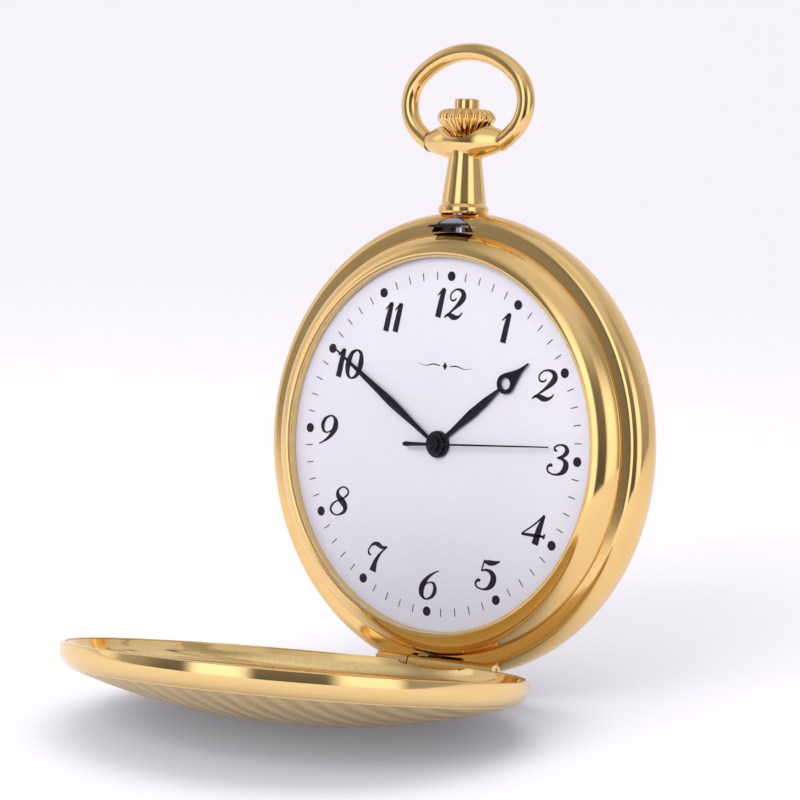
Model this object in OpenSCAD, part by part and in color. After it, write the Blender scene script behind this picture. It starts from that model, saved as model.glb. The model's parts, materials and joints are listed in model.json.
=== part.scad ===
// Pocket watch with a hinged front lid, a battery-driven movement, a pusher in its crown and a bow.
// The origin is the centre of the back cover's flat: the front faces -Y, the pendant points to +Z,
// the lid hinge lies at -Z and three o'clock at +X.
// The modules draw their pieces with the dial face at y = 0, and place() sets them in that frame.

/* [Case] */
// Largest radius of the case band
case_r = 24.1; // [24.0:0.1:24.4]
// Radius where the flat front seat ends and the band begins to round over
seat_r = 22.9; // [22.8:0.1:23.0]
// Radius of the flat in the middle of the back cover
back_flat_r = 15; // [10:1:17]
// Distance from the dial face to the flat of the back cover
back_y = 6.6; // [6.5:0.1:7.2]

/* [Front lid] */
// Opening of the lid in the modelled position, in degrees from closed
lid_open = 85; // [0:1:88]
// Outer radius of the lid at its rim
lid_r = 23.0; // [22.9:0.05:23.0]
// Depth of the lid from its rim to the top of its dome
lid_depth = 6.2; // [5.6:0.1:6.8]
// Thickness of the lid shell
lid_wall = 0.6; // [0.5:0.05:0.6]

/* [Hinge] */
// Radius of the hinge knuckles
knuckle_r = 0.75; // [0.65:0.05:0.75]
// Radius of the hinge pin
hinge_pin_r = 0.35; // [0.3:0.05:0.4]
// Half of the hinge length
hinge_half = 7.6; // [7:0.1:8.2]
// Half of the middle knuckle length
knuckle_half = 3.4; // [3:0.1:4]

/* [Dial and hands] */
// Length of the hour hand from the centre
hour_len = 14.2; // [12:0.1:15]
// Length of the minute hand from the centre
minute_len = 17.2; // [15:0.1:17.5]
// Length of the seconds hand from the centre
seconds_len = 14.5; // [12:0.1:17.5]
// Clock angle of the hour hand, in degrees
hour_at = 52.1; // [0:0.1:360]
// Clock angle of the minute hand, in degrees
minute_at = 304.5; // [0:0.1:360]
// Clock angle of the seconds hand, in degrees
seconds_at = 88.2; // [0:0.1:360]

/* [Pendant, crown and bow] */
// Number of ribs round the crown
crown_ribs = 20; // [16:1:24]
// Largest radius of the crown
crown_r = 3.08; // [2.8:0.02:3.1]
// Radius of the round stock of the bow
bow_stock_r = 0.92; // [0.8:0.02:0.95]
// Half of the width of the bow, to the middle of its stock
bow_half_w = 7.5; // [7:0.1:8]

/* [Hidden] */
$fn = 96;
// play left between parts that bear on each other
gap = 0.02;

gold = "goldenrod";
steel = "silver";
brass = "darkkhaki";
blackened = "darkslategray";

// hinge axis, stem axis and bow pivot
hinge_y = 0.85;
hinge_z = -22.9;
stem_y = 2.8;
bow_z = 31.5;

// joint planes of the lid and of the back cover, and the plane where the band is widest
seat_y = 1.0;
back_seat_y = 5.0;
widest_y = 2.7;
// the back of the band rounds through this angle, down to the rim of the back cover
band_back_angle = 66;
cover_rim_r = seat_r + (case_r - seat_r) * cos(band_back_angle);

// case springs: leaf radii, height of their screws and clock angles of the screws
leaf_inner_r = 19.95;
leaf_outer_r = 20.3;
spring_screw_y = 2.9;
catch_screw_at = 48;
lift_screw_at = 222;
spring_screws_at = [catch_screw_at, lift_screw_at];

// casing clamps: clock angles, and the place of the screw before turning
clamps_at = [60, 180, 300];
clamp_screw_p = [0, 18];

// ---- gear train, in the dial plane ----
// distance between the axes of two gears that mesh
function axis_gap(mod, teeth_a, teeth_b) = mod * (teeth_a + teeth_b) / 2;
// gear module that brings two gears to a given distance
function fit_mod(distance, teeth_a, teeth_b) = 2 * distance / (teeth_a + teeth_b);
function polar(r, a) = r * [cos(a), sin(a)];

// teeth; the pinions of the rotor, intermediate, seconds and third wheels are alike
pinion_teeth = 8;
inter_teeth = 48;
seconds_teeth = 40;
third_teeth = 60;
centre_teeth = 64;
cannon_teeth = 12;
minute_teeth = 36;
minute_pinion_teeth = 10;
hour_teeth = 40;
setting_teeth = 16;

rotor_mod = 0.1;
train_mod = 0.12;
motion_mod = 0.18;
third_gap = axis_gap(train_mod, pinion_teeth, third_teeth);
motion_gap = axis_gap(motion_mod, cannon_teeth, minute_teeth);
// these meshes come back to the dial axis
centre_mod = fit_mod(third_gap, pinion_teeth, centre_teeth);
hour_mod = fit_mod(motion_gap, minute_pinion_teeth, hour_teeth);

// directions from +X towards +Z: from the dial axis, and for the rotor from the intermediate wheel
third_dir = 150;
inter_dir = 240;
rotor_dir = 230;
motion_dir = 60;

// places in the movement, as [x, z]
third_p = polar(third_gap, third_dir);
inter_p = polar(axis_gap(train_mod, pinion_teeth, seconds_teeth), inter_dir);
rotor_p = inter_p + polar(axis_gap(rotor_mod, pinion_teeth, inter_teeth), rotor_dir);
motion_p = polar(motion_gap, motion_dir);
setting_gap = axis_gap(motion_mod, minute_teeth, setting_teeth);
setting_p = [0, motion_p[1] + sqrt(setting_gap * setting_gap - motion_p[0] * motion_p[0])];
battery_p = [6.5, -6.0];
bridge_screws_p = [[-8.6, 2.6], [-6.6, -5.9], [2.6, -2.5], [2.2, 4.9]];
clamp_screw_i = 2; // the bridge screw that also holds the battery clamp
coil_screws_p = [[-7.5, -9.2], [2.4, -9.2]];
dial_feet_p = [[-11.2, -2.6], [11.2, -2.6]];
lever_p = [3.6, 11.62];
lever_pin_p = [0.5, 11.2];
yoke_p = [-3.6, 10.4];

// ---- helpers ----
// points of a quadratic curve
function curve(start, pull, end, steps) = [for (i = [0:steps]) let (t = i / steps)
  (1 - t) * (1 - t) * start + 2 * t * (1 - t) * pull + t * t * end];
// [radius, y] on a dome that rises to the front from its rim
function dome_point(r, rim_r, rim_y, rise, power) = [r, rim_y - rise * (1 - pow(r / rim_r, power))];

// turns a profile of [radius, y] about the dial axis
module revolve() rotate([-90, 0, 0]) rotate_extrude($fn = 180) children();
// extrudes a flat shape drawn as [x, z] from y0 to y1
module plate(y0, y1) translate([0, y1, 0]) rotate([90, 0, 0]) linear_extrude(y1 - y0) children();
module rod_x(r, x0, x1, y, z)
  translate([x0, y, z]) rotate([0, 90, 0]) cylinder(r = r, h = x1 - x0);
module rod_y(r, y0, y1, p = [0, 0])
  translate([p[0], y0, p[1]]) rotate([-90, 0, 0]) cylinder(r = r, h = y1 - y0);
// rods on the stem axis and on the hinge axis
module stem_rod(r, z0, z1) translate([0, stem_y, z0]) cylinder(r = r, h = z1 - z0);
module hinge_rod(r, half) rod_x(r, -half, half, hinge_y, hinge_z);
// two rods along X, one each side of the middle
module rod_pair(r, near, far, y, z) {
  rod_x(r, near, far, y, z);
  rod_x(r, -far, -near, y, z);
}
// ring on the stem axis, cut as a groove
module stem_groove(inner_r, z, width, height)
  translate([0, stem_y, z]) rotate_extrude() translate([inner_r, 0]) square([width, height]);
// box between two corners
module box(from, to) translate(from) cube(to - from);
// box centred on x = 0, with y and z as [from, to]
module mid_box(half_x, y, z) box([-half_x, y[0], z[0]], [half_x, y[1], z[1]]);
// turns +Z to a clock angle about the dial axis
module clock(a) rotate([0, a, 0]) children();
// puts children at [x, z]
module at(p) translate([p[0], 0, p[1]]) children();
// flat round, flat bar, and flat shape from the [x, z] points of its +X half
module disc(p, r) translate(p) circle(r = r);
module bar(from, to, width) translate(from) rotate(atan2(to[1] - from[1], to[0] - from[0]))
  translate([0, -width / 2]) square([norm(to - from), width]);
module mirrored(half) polygon(concat(
  [for (p = half) [-p[0], p[1]]],
  [for (i = [len(half) - 1:-1:0]) half[i]]));

// gear outline, with a tooth centred at angle phase
module gear(teeth, mod, phase) {
  pitch_r = teeth * mod / 2;
  root_r = pitch_r - 1.15 * mod;
  tip_r = pitch_r + 0.8 * mod;
  // [share of the pitch, radius] across one tooth
  tooth = [[-0.30, root_r], [-0.19, pitch_r], [-0.09, tip_r],
    [0.09, tip_r], [0.19, pitch_r], [0.30, root_r]];
  polygon([for (i = [0:teeth - 1]) each
    [for (k = tooth) polar(k[1], phase + (i + k[0]) * 360 / teeth)]]);
}
// wheel with four spokes
module wheel(teeth, mod, phase, y0, y1, hub_r, hole_r) {
  pitch_r = teeth * mod / 2;
  plate(y0, y1) difference() {
    gear(teeth, mod, phase);
    circle(r = hole_r);
    difference() {
      circle(r = pitch_r - 2.6 * mod);
      circle(r = hub_r);
      for (i = [0:3]) rotate(i * 90 + phase) translate([0, -0.14]) square([pitch_r, 0.28]);
    }
  }
}
// phase of a follower in direction dir from a driver with a tooth at driver_phase
function mesh(dir, driver_phase, driver_teeth, teeth) =
  dir + 180 + 180 / teeth + (dir - driver_phase) * driver_teeth / teeth;
// the same for a driver with a tooth pointing at the follower
function mesh_on(dir, driver_teeth, teeth) = mesh(dir, dir, driver_teeth, teeth);

// screw along Y with a slotted head to the back
module pan_screw(tip_y, head_y, head_r, head_h = 0.28, shank_r = 0.38) {
  top_y = head_y + head_h;
  overlap = 0.02;
  difference() {
    union() {
      rod_y(shank_r, tip_y, head_y + overlap);
      rod_y(head_r, head_y, top_y);
    }
    mid_box(0.09, [top_y - 0.14, top_y + 1], [-2, 2]);
  }
}

// ---- case ----
// radial hole of a case spring screw
module spring_hole(a, r, depth)
  clock(a) translate([0, spring_screw_y, 19]) cylinder(r = r, h = depth);

module case_middle() color(gold) {
  round_w = case_r - seat_r;
  front = [for (i = [0:11]) let (t = 90 * i / 11)
    [seat_r + round_w * sin(t), seat_y + (widest_y - seat_y) * (1 - cos(t))]];
  back = [for (i = [1:8]) let (t = band_back_angle * i / 8)
    [seat_r + round_w * cos(t),
     widest_y + (back_seat_y - widest_y) / sin(band_back_angle) * sin(t)]];
  difference() {
    union() {
      revolve() polygon(concat(
        [[20.7, 1.9], [21.45, 1.9], [21.45, seat_y]],
        front, back,
        [[21.4, back_seat_y], [21.4, 4.12], [20.7, 4.12]]));
      // outer knuckles of the hinge
      rod_pair(knuckle_r, knuckle_half, hinge_half, hinge_y, hinge_z);
    }
    hinge_rod(hinge_pin_r, hinge_half + 1);
    // room for the middle knuckle and the slot for the lift spring
    hinge_rod(knuckle_r + 0.1, knuckle_half + 0.05);
    mid_box(3.2, [0, 2.35], [-22.6, -21.95]);
    mid_box(3.2, [2.05, 3.3], [-22.6, -19.5]);
    // mouth for the catch and passage behind it
    mid_box(2.55, [0, 2.3], [21.95, 23.55]);
    mid_box(2.55, [1.95, 3.85], [19.5, 23.55]);
    // seat for the pendant and passage for the sleeve
    stem_rod(2.66, 23.82, 26);
    stem_rod(1.3, 19, 26);
    for (a = spring_screws_at) spring_hole(a, 0.42, 3.4);
  }
}

saddle_half = 4.75;
saddle_mid_r = 2.05;
saddle_taper = 1.1; // radius lost from the middle to each end

module pendant() color(gold) difference() {
  union() {
    // [radius, z] about the stem axis
    translate([0, stem_y, 0]) rotate_extrude() polygon([
      [0, 23.82], [2.5, 23.82], [2.62, 24.0], [2.62, 24.55], [2.5, 24.75],
      [2.32, 24.85], [2.32, 25.05], [1.74, 29.6], [1.74, 31.0], [0, 31.0]]);
    // saddle, a spindle along the bow pivots
    translate([-saddle_half, stem_y, bow_z]) rotate([0, 90, 0]) rotate_extrude()
      polygon(concat(
        [[0, 0]],
        [for (i = [0:16]) let (u = (i / 8 - 1) * saddle_half)
          [saddle_mid_r - saddle_taper * pow(u / saddle_half, 2), u + saddle_half]],
        [[0, 2 * saddle_half]]));
  }
  // bowl for the crown
  translate([0, stem_y, 34.3]) sphere(r = 3.42);
  // sleeve bore
  stem_rod(1.25, 23, 32);
  // bow pivot bores
  rod_pair(0.45, 3.55, 5, stem_y, bow_z);
}

// the bow is an oval of round stock made of arcs with two radii
bow_side_r = 3.9;
bow_long_r = 9.2;
bow_up = 3.9; // height of the oval's centre above the pivots

// arc about centre [x, z], from angle a0 to a1
module bow_arc(centre, r, a0, a1)
  translate([centre[0], stem_y, centre[1]]) rotate([90, 0, 0]) rotate([0, 0, a0])
    rotate_extrude(angle = a1 - a0) translate([r, 0]) circle(r = bow_stock_r, $fn = 48);

module bow() color(gold) {
  mid_z = bow_z + bow_up;
  side_x = bow_half_w - bow_side_r;
  long_dz = sqrt(pow(bow_long_r - bow_side_r, 2) - side_x * side_x);
  joint_a = atan2(long_dz, side_x);
  // the arcs stop just short of the joints, which the balls fill
  side_a = joint_a - 0.2;
  long_a = joint_a + 0.1;
  end_a = joint_a + 24;
  difference() {
    union() {
      bow_arc([side_x, mid_z], bow_side_r, -side_a, side_a);
      bow_arc([-side_x, mid_z], bow_side_r, 180 - side_a, 180 + side_a);
      // two short lower arcs and the top arc
      bow_arc([0, mid_z + long_dz], bow_long_r, -end_a, -long_a);
      bow_arc([0, mid_z + long_dz], bow_long_r, 180 + long_a, 180 + end_a);
      bow_arc([0, mid_z - long_dz], bow_long_r, long_a, 180 - long_a);
      for (s = [-1, 1]) for (u = [-1, 1])
        translate([s * (side_x + bow_side_r * cos(joint_a)), stem_y,
            mid_z + u * bow_side_r * sin(joint_a)])
          sphere(r = bow_stock_r + 0.02, $fn = 48);
    }
    // room for the saddle
    mid_box(saddle_half + 0.07, [stem_y - 3, stem_y + 3], [bow_z - 3, bow_z + 2.6]);
  }
  // pivots
  rod_pair(0.4, 3.65, 5.6, stem_y, bow_z);
}

module bezel() color(gold) revolve() polygon(concat(
  [[19.35, -0.02], [19.35, -0.72], [19.6, -0.72], [19.6, -1.05], [19.68, -1.1]],
  curve([19.8, -1.1], [21.2, -0.85], [21.93, 0.93], 10),
  [[21.93, 0.97], [21.42, 0.97], [21.42, 1.85], [20.78, 1.85], [20.78, -0.02]]));

crystal_r = 19.57;
crystal_inner_r = 18.5;
crystal_back_y = -0.87;
crystal_edge_y = -1.06;

module crystal() color("azure", 0.3) revolve() polygon(concat(
  [[crystal_r, crystal_back_y], [crystal_r, crystal_edge_y]],
  [for (i = [1:14]) dome_point(crystal_r * (1 - i / 14), crystal_r, crystal_edge_y, 1.44, 2)],
  [for (i = [0:12]) dome_point(crystal_inner_r * i / 12, crystal_inner_r, -1.0, 0.9, 2)],
  [[19.1, crystal_back_y]]));

module crystal_gasket() color("whitesmoke")
  revolve() translate([19.38, -0.85]) square([0.2, 0.12]);

module back_cover() color(gold) {
  inner_y = back_y - 0.7;
  inner_edge = [20.7, 5.1];
  rim_y = back_seat_y + gap;
  revolve() polygon(concat(
    [[0, back_y], [0, inner_y], [back_flat_r, inner_y]],
    [for (i = [1:6]) let (t = i / 6)
      [back_flat_r + (inner_edge[0] - back_flat_r) * t, inner_y - (inner_y - inner_edge[1]) * t * t]],
    [[20.7, 4.4], [21.36, 4.4], [21.36, rim_y]],
    [for (i = [0:9]) let (t = 90 * i / 9)
      [back_flat_r + (cover_rim_r - back_flat_r) * cos(t), rim_y + (back_y - rim_y) * sin(t)]]));
}

module back_cover_gasket() color("dimgray")
  revolve() translate([21.2, 4.26]) circle(r = 0.13, $fn = 24);

// ---- lid ----
// shell of the closed lid, with its rim at y = 0
module lid_profile() {
  side_y = -0.9; // end of the straight side
  dome_r = lid_r - 1.12;
  dome_y = -2.56;
  inner_r = lid_r - 1.9;
  inner_y = -2.1;
  polygon(concat(
    [[lid_r - lid_wall, 0], [lid_r - 0.04, 0], [lid_r, -0.05], [lid_r, side_y]],
    // rounded side
    [for (i = [1:5]) let (t = i / 5) [lid_r - 0.9 * t * t, side_y - 1.5 * t]],
    // engraved line round the dome
    [[lid_r - 1.06, -2.46], [dome_r, dome_y]],
    [for (i = [1:12]) dome_point(dome_r * (1 - i / 12), dome_r, dome_y, lid_depth + dome_y, 2.1)],
    [for (i = [0:12])
      dome_point(inner_r * i / 12, inner_r, inner_y, lid_depth - lid_wall + inner_y, 2.1)],
    [[lid_r - lid_wall - 0.75, -1.75], [lid_r - lid_wall - 0.2, -1.0]]));
}
module lid_closed() {
  middle_half = knuckle_half - 0.04;
  difference() {
    union() {
      translate([0, seat_y - 0.03, 0]) revolve() lid_profile();
      // middle knuckle and the web that joins it to the rim
      hinge_rod(knuckle_r, middle_half);
      mid_box(middle_half, [hinge_y - knuckle_r, hinge_y], [hinge_z, hinge_z + 0.45]);
    }
    hinge_rod(hinge_pin_r + 0.03, knuckle_half + 1);
    // room for the outer knuckles
    rod_pair(knuckle_r + 0.08, middle_half, hinge_half + 0.1, hinge_y, hinge_z);
    // pocket for the catch
    intersection() {
      mid_box(2.7, [-0.4, 2], [21.5, 24]);
      rod_y(22.8, -1, 3);
    }
  }
}
module front_lid() color(gold) translate([0, hinge_y, hinge_z]) rotate([lid_open, 0, 0])
  translate([0, -hinge_y, -hinge_z]) lid_closed();

module lid_hinge_pin() color(steel) hinge_rod(hinge_pin_r, hinge_half - 0.1);

// leaf along the inside of the band, from clock angle a0 to a1
module leaf(a0, a1, y0, y1) clock(a0) translate([0, y1, 0]) rotate([90, 0, 0])
  rotate([0, 0, 90 - (a1 - a0)]) rotate_extrude(angle = a1 - a0, $fn = 180)
    translate([leaf_inner_r, 0]) square([leaf_outer_r - leaf_inner_r, y1 - y0]);

module lid_lift_spring() color(steel) difference() {
  union() {
    leaf(181, 228, 2.3, 3.2);
    // tip bent out to the middle knuckle, as [front y, outer z, inner z] of each step
    for (step = [[2.3, -22.0, -19.97], [1.7, -22.35, -21.97], [0.5, -22.12, -21.97]])
      box([-2.2, step[0], step[1]], [-0.9, 3.1, step[2]]);
  }
  spring_hole(lift_screw_at, 0.45, 3);
}
module lid_catch() color(steel) difference() {
  intersection() {
    union() {
      mid_box(2.4, [2.2, 3.6], [20.34, 23.45]);
      mid_box(2.4, [1.05, 2.3], [22.42, 23.45]);
      // nose that reaches into the lid
      intersection() {
        mid_box(2.4, [-0.3, 1.1], [22.42, 24]);
        rod_y(22.72, -1, 3);
      }
    }
    rod_y(23.45, -1, 4);
  }
  // passage for the sleeve
  stem_rod(1.12, 19, 24);
}
module lid_catch_spring() color(steel) difference() {
  leaf(4, 55, 2.2, 3.6);
  spring_hole(catch_screw_at, 0.45, 3);
}
module case_spring_screws() color(steel)
  for (a = spring_screws_at) clock(a) translate([0, spring_screw_y, 0]) difference() {
    union() {
      translate([0, 0, 19.5]) cylinder(r = 0.65, h = 0.43);
      translate([0, 0, 19.9]) cylinder(r = 0.4, h = 2.2);
    }
    mid_box(0.08, [-1, 1], [19.4, 19.65]);
  }

// ---- crown and pusher ----
cross_pin_z = 26.0;
// groove of the crown gasket in the sleeve
gasket_groove_z = 28.6;
gasket_groove_h = 0.42;

// [radius, z]: flared side, then the rounded edge
function crown_profile() =
  let (foot_r = 1.45, side_z = 33.7, edge_r = 0.95)
  concat(
    [[0, 31.75], [1.35, 31.75]],
    [for (i = [0:6]) let (t = i / 6)
      [foot_r + (crown_r - foot_r - 0.05) * sin(90 * t) * (0.45 + 0.55 * t), 31.8 + 1.9 * t]],
    [for (i = [1:6]) let (t = 90 * i / 6)
      [crown_r - edge_r + edge_r * cos(t), side_z + 1.05 * sin(t)]],
    [[0, 34.75]]);

module crown() color(gold) difference() {
  translate([0, stem_y, 0]) rotate_extrude() polygon(crown_profile());
  // pockets for the sleeve, the pusher shank, and the pusher head with its spring
  stem_rod(0.87, 31, 33.02);
  stem_rod(0.5, 30, 36);
  stem_rod(1.33, 33.3, 36.3);
  // valleys between the ribs, up the edge and along the flare
  for (i = [0:crown_ribs - 1]) translate([0, stem_y, 0]) rotate([0, 0, i * 360 / crown_ribs]) {
    translate([3.2, 0, 33.55]) cylinder(r = 0.24, h = 2);
    translate([1.62, 0, 31.6]) rotate([0, 38.5, 0]) cylinder(r = 0.2, h = 2.75);
  }
}
module crown_sleeve() color(steel) difference() {
  stem_rod(0.85, 21.0, 33.0);
  stem_rod(0.45, 24.2, 34);
  // slots for the cross pin
  mid_box(2, [stem_y - 0.24, stem_y + 0.24], [24.6, 26.6]);
  // socket of the setting stem
  stem_rod(0.5, 20, 23);
  stem_groove(0.72, gasket_groove_z, 1, gasket_groove_h);
}
module crown_gasket() color("dimgray")
  translate([0, stem_y, gasket_groove_z + gasket_groove_h / 2])
    rotate_extrude() translate([0.99, 0]) circle(r = 0.195, $fn = 32);

module pusher_button() color(gold) {
  translate([0, stem_y, 0]) rotate_extrude()
    polygon([[0, 34.45], [1.28, 34.45], [1.28, 35.68], [1.16, 35.8], [0, 35.8]]);
  difference() {
    stem_rod(0.41, 25.4, 34.6);
    rod_x(0.2, -1, 1, stem_y, cross_pin_z);
  }
}
// closed tube of round wire along a helix
module coil_wire(coil_r, wire_r, z0, z1, turns, steps, sides) {
  rise = (z1 - z0) / turns;
  slope = atan(rise / 2 / (PI * coil_r));
  function point(i, k) =
    let (t = turns * 360 * i / steps, b = 360 * k / sides,
      out = coil_r + wire_r * cos(b), across = wire_r * sin(b))
    [out * cos(t) + across * sin(slope) * sin(t),
     out * sin(t) - across * sin(slope) * cos(t),
     z0 + rise * t / 360 + across * cos(slope)];
  polyhedron(
    points = [for (i = [0:steps]) for (k = [0:sides - 1]) point(i, k)],
    faces = concat(
      [[for (k = [0:sides - 1]) k]],
      [[for (k = [sides - 1:-1:0]) steps * sides + k]],
      [for (i = [0:steps - 1]) for (k = [0:sides - 1])
        let (here = i * sides, ahead = here + sides, next = (k + 1) % sides)
        each [[here + k, ahead + k, ahead + next], [here + k, ahead + next, here + next]]]));
}
module pusher_spring() color(steel) translate([0, stem_y, 0])
  coil_wire(coil_r = 0.93, wire_r = 0.11, z0 = 33.42, z1 = 34.33, turns = 3.5, steps = 84, sides = 8);

module pusher_collar() color(steel) difference() {
  stem_rod(1.2, 23.5, 26.5);
  stem_rod(0.9, 23, 27);
  rod_x(0.2, -2, 2, stem_y, cross_pin_z);
}
module pusher_cross_pin() color(steel) rod_x(0.19, -1.15, 1.15, stem_y, cross_pin_z);

module setting_stem() color(steel) difference() {
  union() {
    stem_rod(0.48, 9.2, 22.8);
    stem_rod(0.3, 8.4, 9.3);
  }
  // the lower length is square, and a groove above it takes the lever pin
  difference() {
    stem_rod(0.6, 9.19, 10.9);
    mid_box(0.33, [stem_y - 0.33, stem_y + 0.33], [9, 11]);
  }
  stem_groove(0.3, 11.0, 0.6, 0.42);
}

// ---- movement holder and dial ----
module movement_ring() color("gainsboro") difference() {
  revolve() polygon([[12.9, 1.0], [13.6, 0.42], [20.5, 0.42], [20.5, 1.88], [20.65, 1.93],
    [20.65, 2.1], [19.0, 2.1], [19.0, 4.0], [12.9, 4.0]]);
  // passages for the stem, the catch and the lift spring
  stem_rod(1.0, 12, 21);
  mid_box(2.7, [1.85, 6], [18.9, 21]);
  mid_box(3.3, [1.95, 6], [-21, -18.9]);
  // pockets of the spring screws, and holes of the casing screws
  for (a = spring_screws_at) clock(a) mid_box(1.1, [1.95, 6], [18.7, 21]);
  for (a = clamps_at) clock(a) rod_y(0.46, 3.0, 6, clamp_screw_p);
}
module dial() color("white") difference() {
  union() {
    rod_y(20.4, 0, 0.4);
    for (p = dial_feet_p) rod_y(0.35, 0.3, 2.9, p);
  }
  rod_y(1.0, -1, 2);
}

// ---- movement ----
plate_r = 12.8;
// bridge and battery clamp, from front to back
bridge_front_y = 4.05;
bridge_back_y = 4.5;
clamp_front_y = 4.75;
clamp_back_y = 4.95;
// axis of the coil and half of its core's thickness
coil_y = 3.75;
coil_z = -10;
core_half = 0.2;

module main_plate() color(steel) difference() {
  union() {
    rod_y(plate_r, 2.1, 3.0);
    // rim against the holder, open at the stem, and the deeper block round the stem
    difference() {
      difference() {
        rod_y(plate_r, 1.2, 3.05);
        rod_y(11.9, 0.2, 4.05);
      }
      mid_box(7.5, [0, 2.1], [8, 14]);
    }
    intersection() {
      mid_box(3.2, [2.1, 3.7], [6.9, 13]);
      rod_y(plate_r, 0, 5);
    }
    // posts of the minute wheel, setting wheel, setting lever and yoke
    rod_y(0.3, 0.62, 2.2, motion_p);
    rod_y(0.4, 1.0, 2.2, setting_p);
    for (p = [lever_p, yoke_p]) rod_y(0.3, 1.4, 2.2, p);
    // pillars under the bridge
    for (p = bridge_screws_p) rod_y(0.95, 2.9, 3.75, p);
    // boss round the centre hole
    rod_y(1.0, 1.95, 2.2);
  }
  // stem bore, clutch window and slot in front of the stem
  stem_rod(0.52, 7.5, 14);
  mid_box(1.15, [1.0, 4], [9.0, 10.95]);
  box([-0.95, 1.0, 10.9], [1.25, stem_y, 13]);
  // train bearings
  rod_y(0.27, 1, 4);
  rod_y(0.23, 1, 4, third_p);
  for (p = [inter_p, rotor_p]) rod_y(0.2, 2.3, 4, p);
  for (p = dial_feet_p) rod_y(0.4, 1, 4, p);
  // pocket of the coil, its screw holes, and the battery pocket
  box([-6.3, 2.75, -10.9], [1.0, 4, -9.1]);
  for (p = coil_screws_p) rod_y(0.4, 2.3, 4, p);
  rod_y(3.45, 2.5, 4, battery_p);
  for (p = bridge_screws_p) rod_y(0.4, 2.6, 5, p);
}

module battery() color(steel) at(battery_p) revolve() polygon([[0, 2.55], [2.6, 2.55],
  [2.7, 2.7], [3.25, 2.7], [3.38, 2.85], [3.38, 4.58], [3.26, 4.7], [0, 4.7]]);

module battery_clamp() color(steel) plate(clamp_front_y, clamp_back_y) {
  screw_p = bridge_screws_p[clamp_screw_i];
  difference() {
    union() {
      // two crossing arms, kept inside the movement
      intersection() {
        union() {
          bar(screw_p, battery_p + [2.2, -2.0], 1.6);
          bar(battery_p + [-1.6, -1.9], battery_p + [1.9, 1.6], 1.2);
        }
        circle(r = 12.2);
      }
      disc(screw_p, 1.0);
    }
    disc(screw_p, 0.45);
  }
}

module coil_winding() color("chocolate") difference() {
  union() {
    rod_x(0.7, -5.9, 0.6, coil_y, coil_z);
    // end flanges
    for (x = [-6.1, 0.55]) rod_x(0.8, x, x + 0.25, coil_y, coil_z);
  }
  box([-7, coil_y - core_half - gap, coil_z - 0.32], [2, coil_y + core_half + gap, coil_z + 0.32]);
}
module coil_core() color(steel) difference() {
  union() {
    box([-7.45, coil_y - core_half, coil_z - 0.3], [2.35, coil_y + core_half, coil_z + 0.3]);
    plate(coil_y - core_half, coil_y + core_half) for (p = coil_screws_p) disc(p, 0.85);
  }
  for (p = coil_screws_p) rod_y(0.42, 3, 5, p);
}
module stator() color(steel) plate(3.1, 3.5) difference() {
  union() {
    for (p = coil_screws_p) {
      bar(p, rotor_p, 1.2);
      disc(p, 0.85);
    }
    disc(rotor_p, 1.6);
  }
  disc(rotor_p, 1.08);
  for (p = coil_screws_p) disc(p, 0.42);
}

// each driving pinion has a tooth pointing at its follower
rotor_phase = rotor_dir - 180;
inter_phase = inter_dir - 180;
minute_phase = mesh_on(motion_dir, cannon_teeth, minute_teeth);

module rotor() color(steel) at(rotor_p) {
  rod_y(0.16, 2.35, 4.25);
  rod_y(0.95, 3.04, 3.6);
  plate(3.7, 4.0) gear(pinion_teeth, rotor_mod, rotor_phase);
}
module intermediate_wheel() color(brass) at(inter_p) {
  rod_y(0.16, 2.35, 4.25);
  wheel(inter_teeth, rotor_mod, mesh_on(rotor_phase, pinion_teeth, inter_teeth),
    y0 = 3.75, y1 = 3.93, hub_r = 0.7, hole_r = 0.1);
  plate(3.35, 3.7) gear(pinion_teeth, train_mod, inter_phase);
}
module seconds_wheel() color(brass) {
  rod_y(0.2, -0.95, 4.25);
  wheel(seconds_teeth, train_mod, mesh_on(inter_phase, pinion_teeth, seconds_teeth),
    y0 = 3.4, y1 = 3.6, hub_r = 0.8, hole_r = 0.15);
  plate(3.02, 3.35) gear(pinion_teeth, train_mod, third_dir);
}
module third_wheel() color(brass) at(third_p) {
  rod_y(0.18, 1.55, 4.25);
  wheel(third_teeth, train_mod, mesh_on(third_dir, pinion_teeth, third_teeth),
    y0 = 3.08, y1 = 3.28, hub_r = 0.8, hole_r = 0.15);
  plate(1.55, 1.9) gear(pinion_teeth, centre_mod, third_dir + 180);
}
module centre_wheel() color(brass) difference() {
  union() {
    wheel(centre_teeth, centre_mod, mesh_on(third_dir + 180, pinion_teeth, centre_teeth),
      y0 = 1.6, y1 = 1.8, hub_r = 1.25, hole_r = 0.3);
    rod_y(0.5, -0.72, 1.9);
    plate(1.0, 1.35) gear(cannon_teeth, motion_mod, motion_dir);
  }
  rod_y(0.24, -2, 3);
}
module minute_wheel() color(brass) at(motion_p) difference() {
  union() {
    wheel(minute_teeth, motion_mod, minute_phase, y0 = 1.05, y1 = 1.3, hub_r = 1.1, hole_r = 0.3);
    plate(0.55, 1.1) gear(minute_pinion_teeth, hour_mod, motion_dir + 180);
  }
  rod_y(0.33, 0, 2);
}
module hour_wheel() color(brass) difference() {
  union() {
    wheel(hour_teeth, hour_mod, mesh_on(motion_dir + 180, minute_pinion_teeth, hour_teeth),
      y0 = 0.62, y1 = 0.84, hub_r = 1.5, hole_r = 0.6);
    rod_y(0.85, -0.38, 0.8);
  }
  rod_y(0.55, -2, 3);
}
module setting_wheel() color(steel) at(setting_p) plate(1.04, 2.05) {
  dir = atan2(setting_p[1] - motion_p[1], setting_p[0] - motion_p[0]);
  difference() {
    gear(setting_teeth, motion_mod, mesh(dir, minute_phase, minute_teeth, setting_teeth));
    circle(r = 0.44);
  }
}
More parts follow.
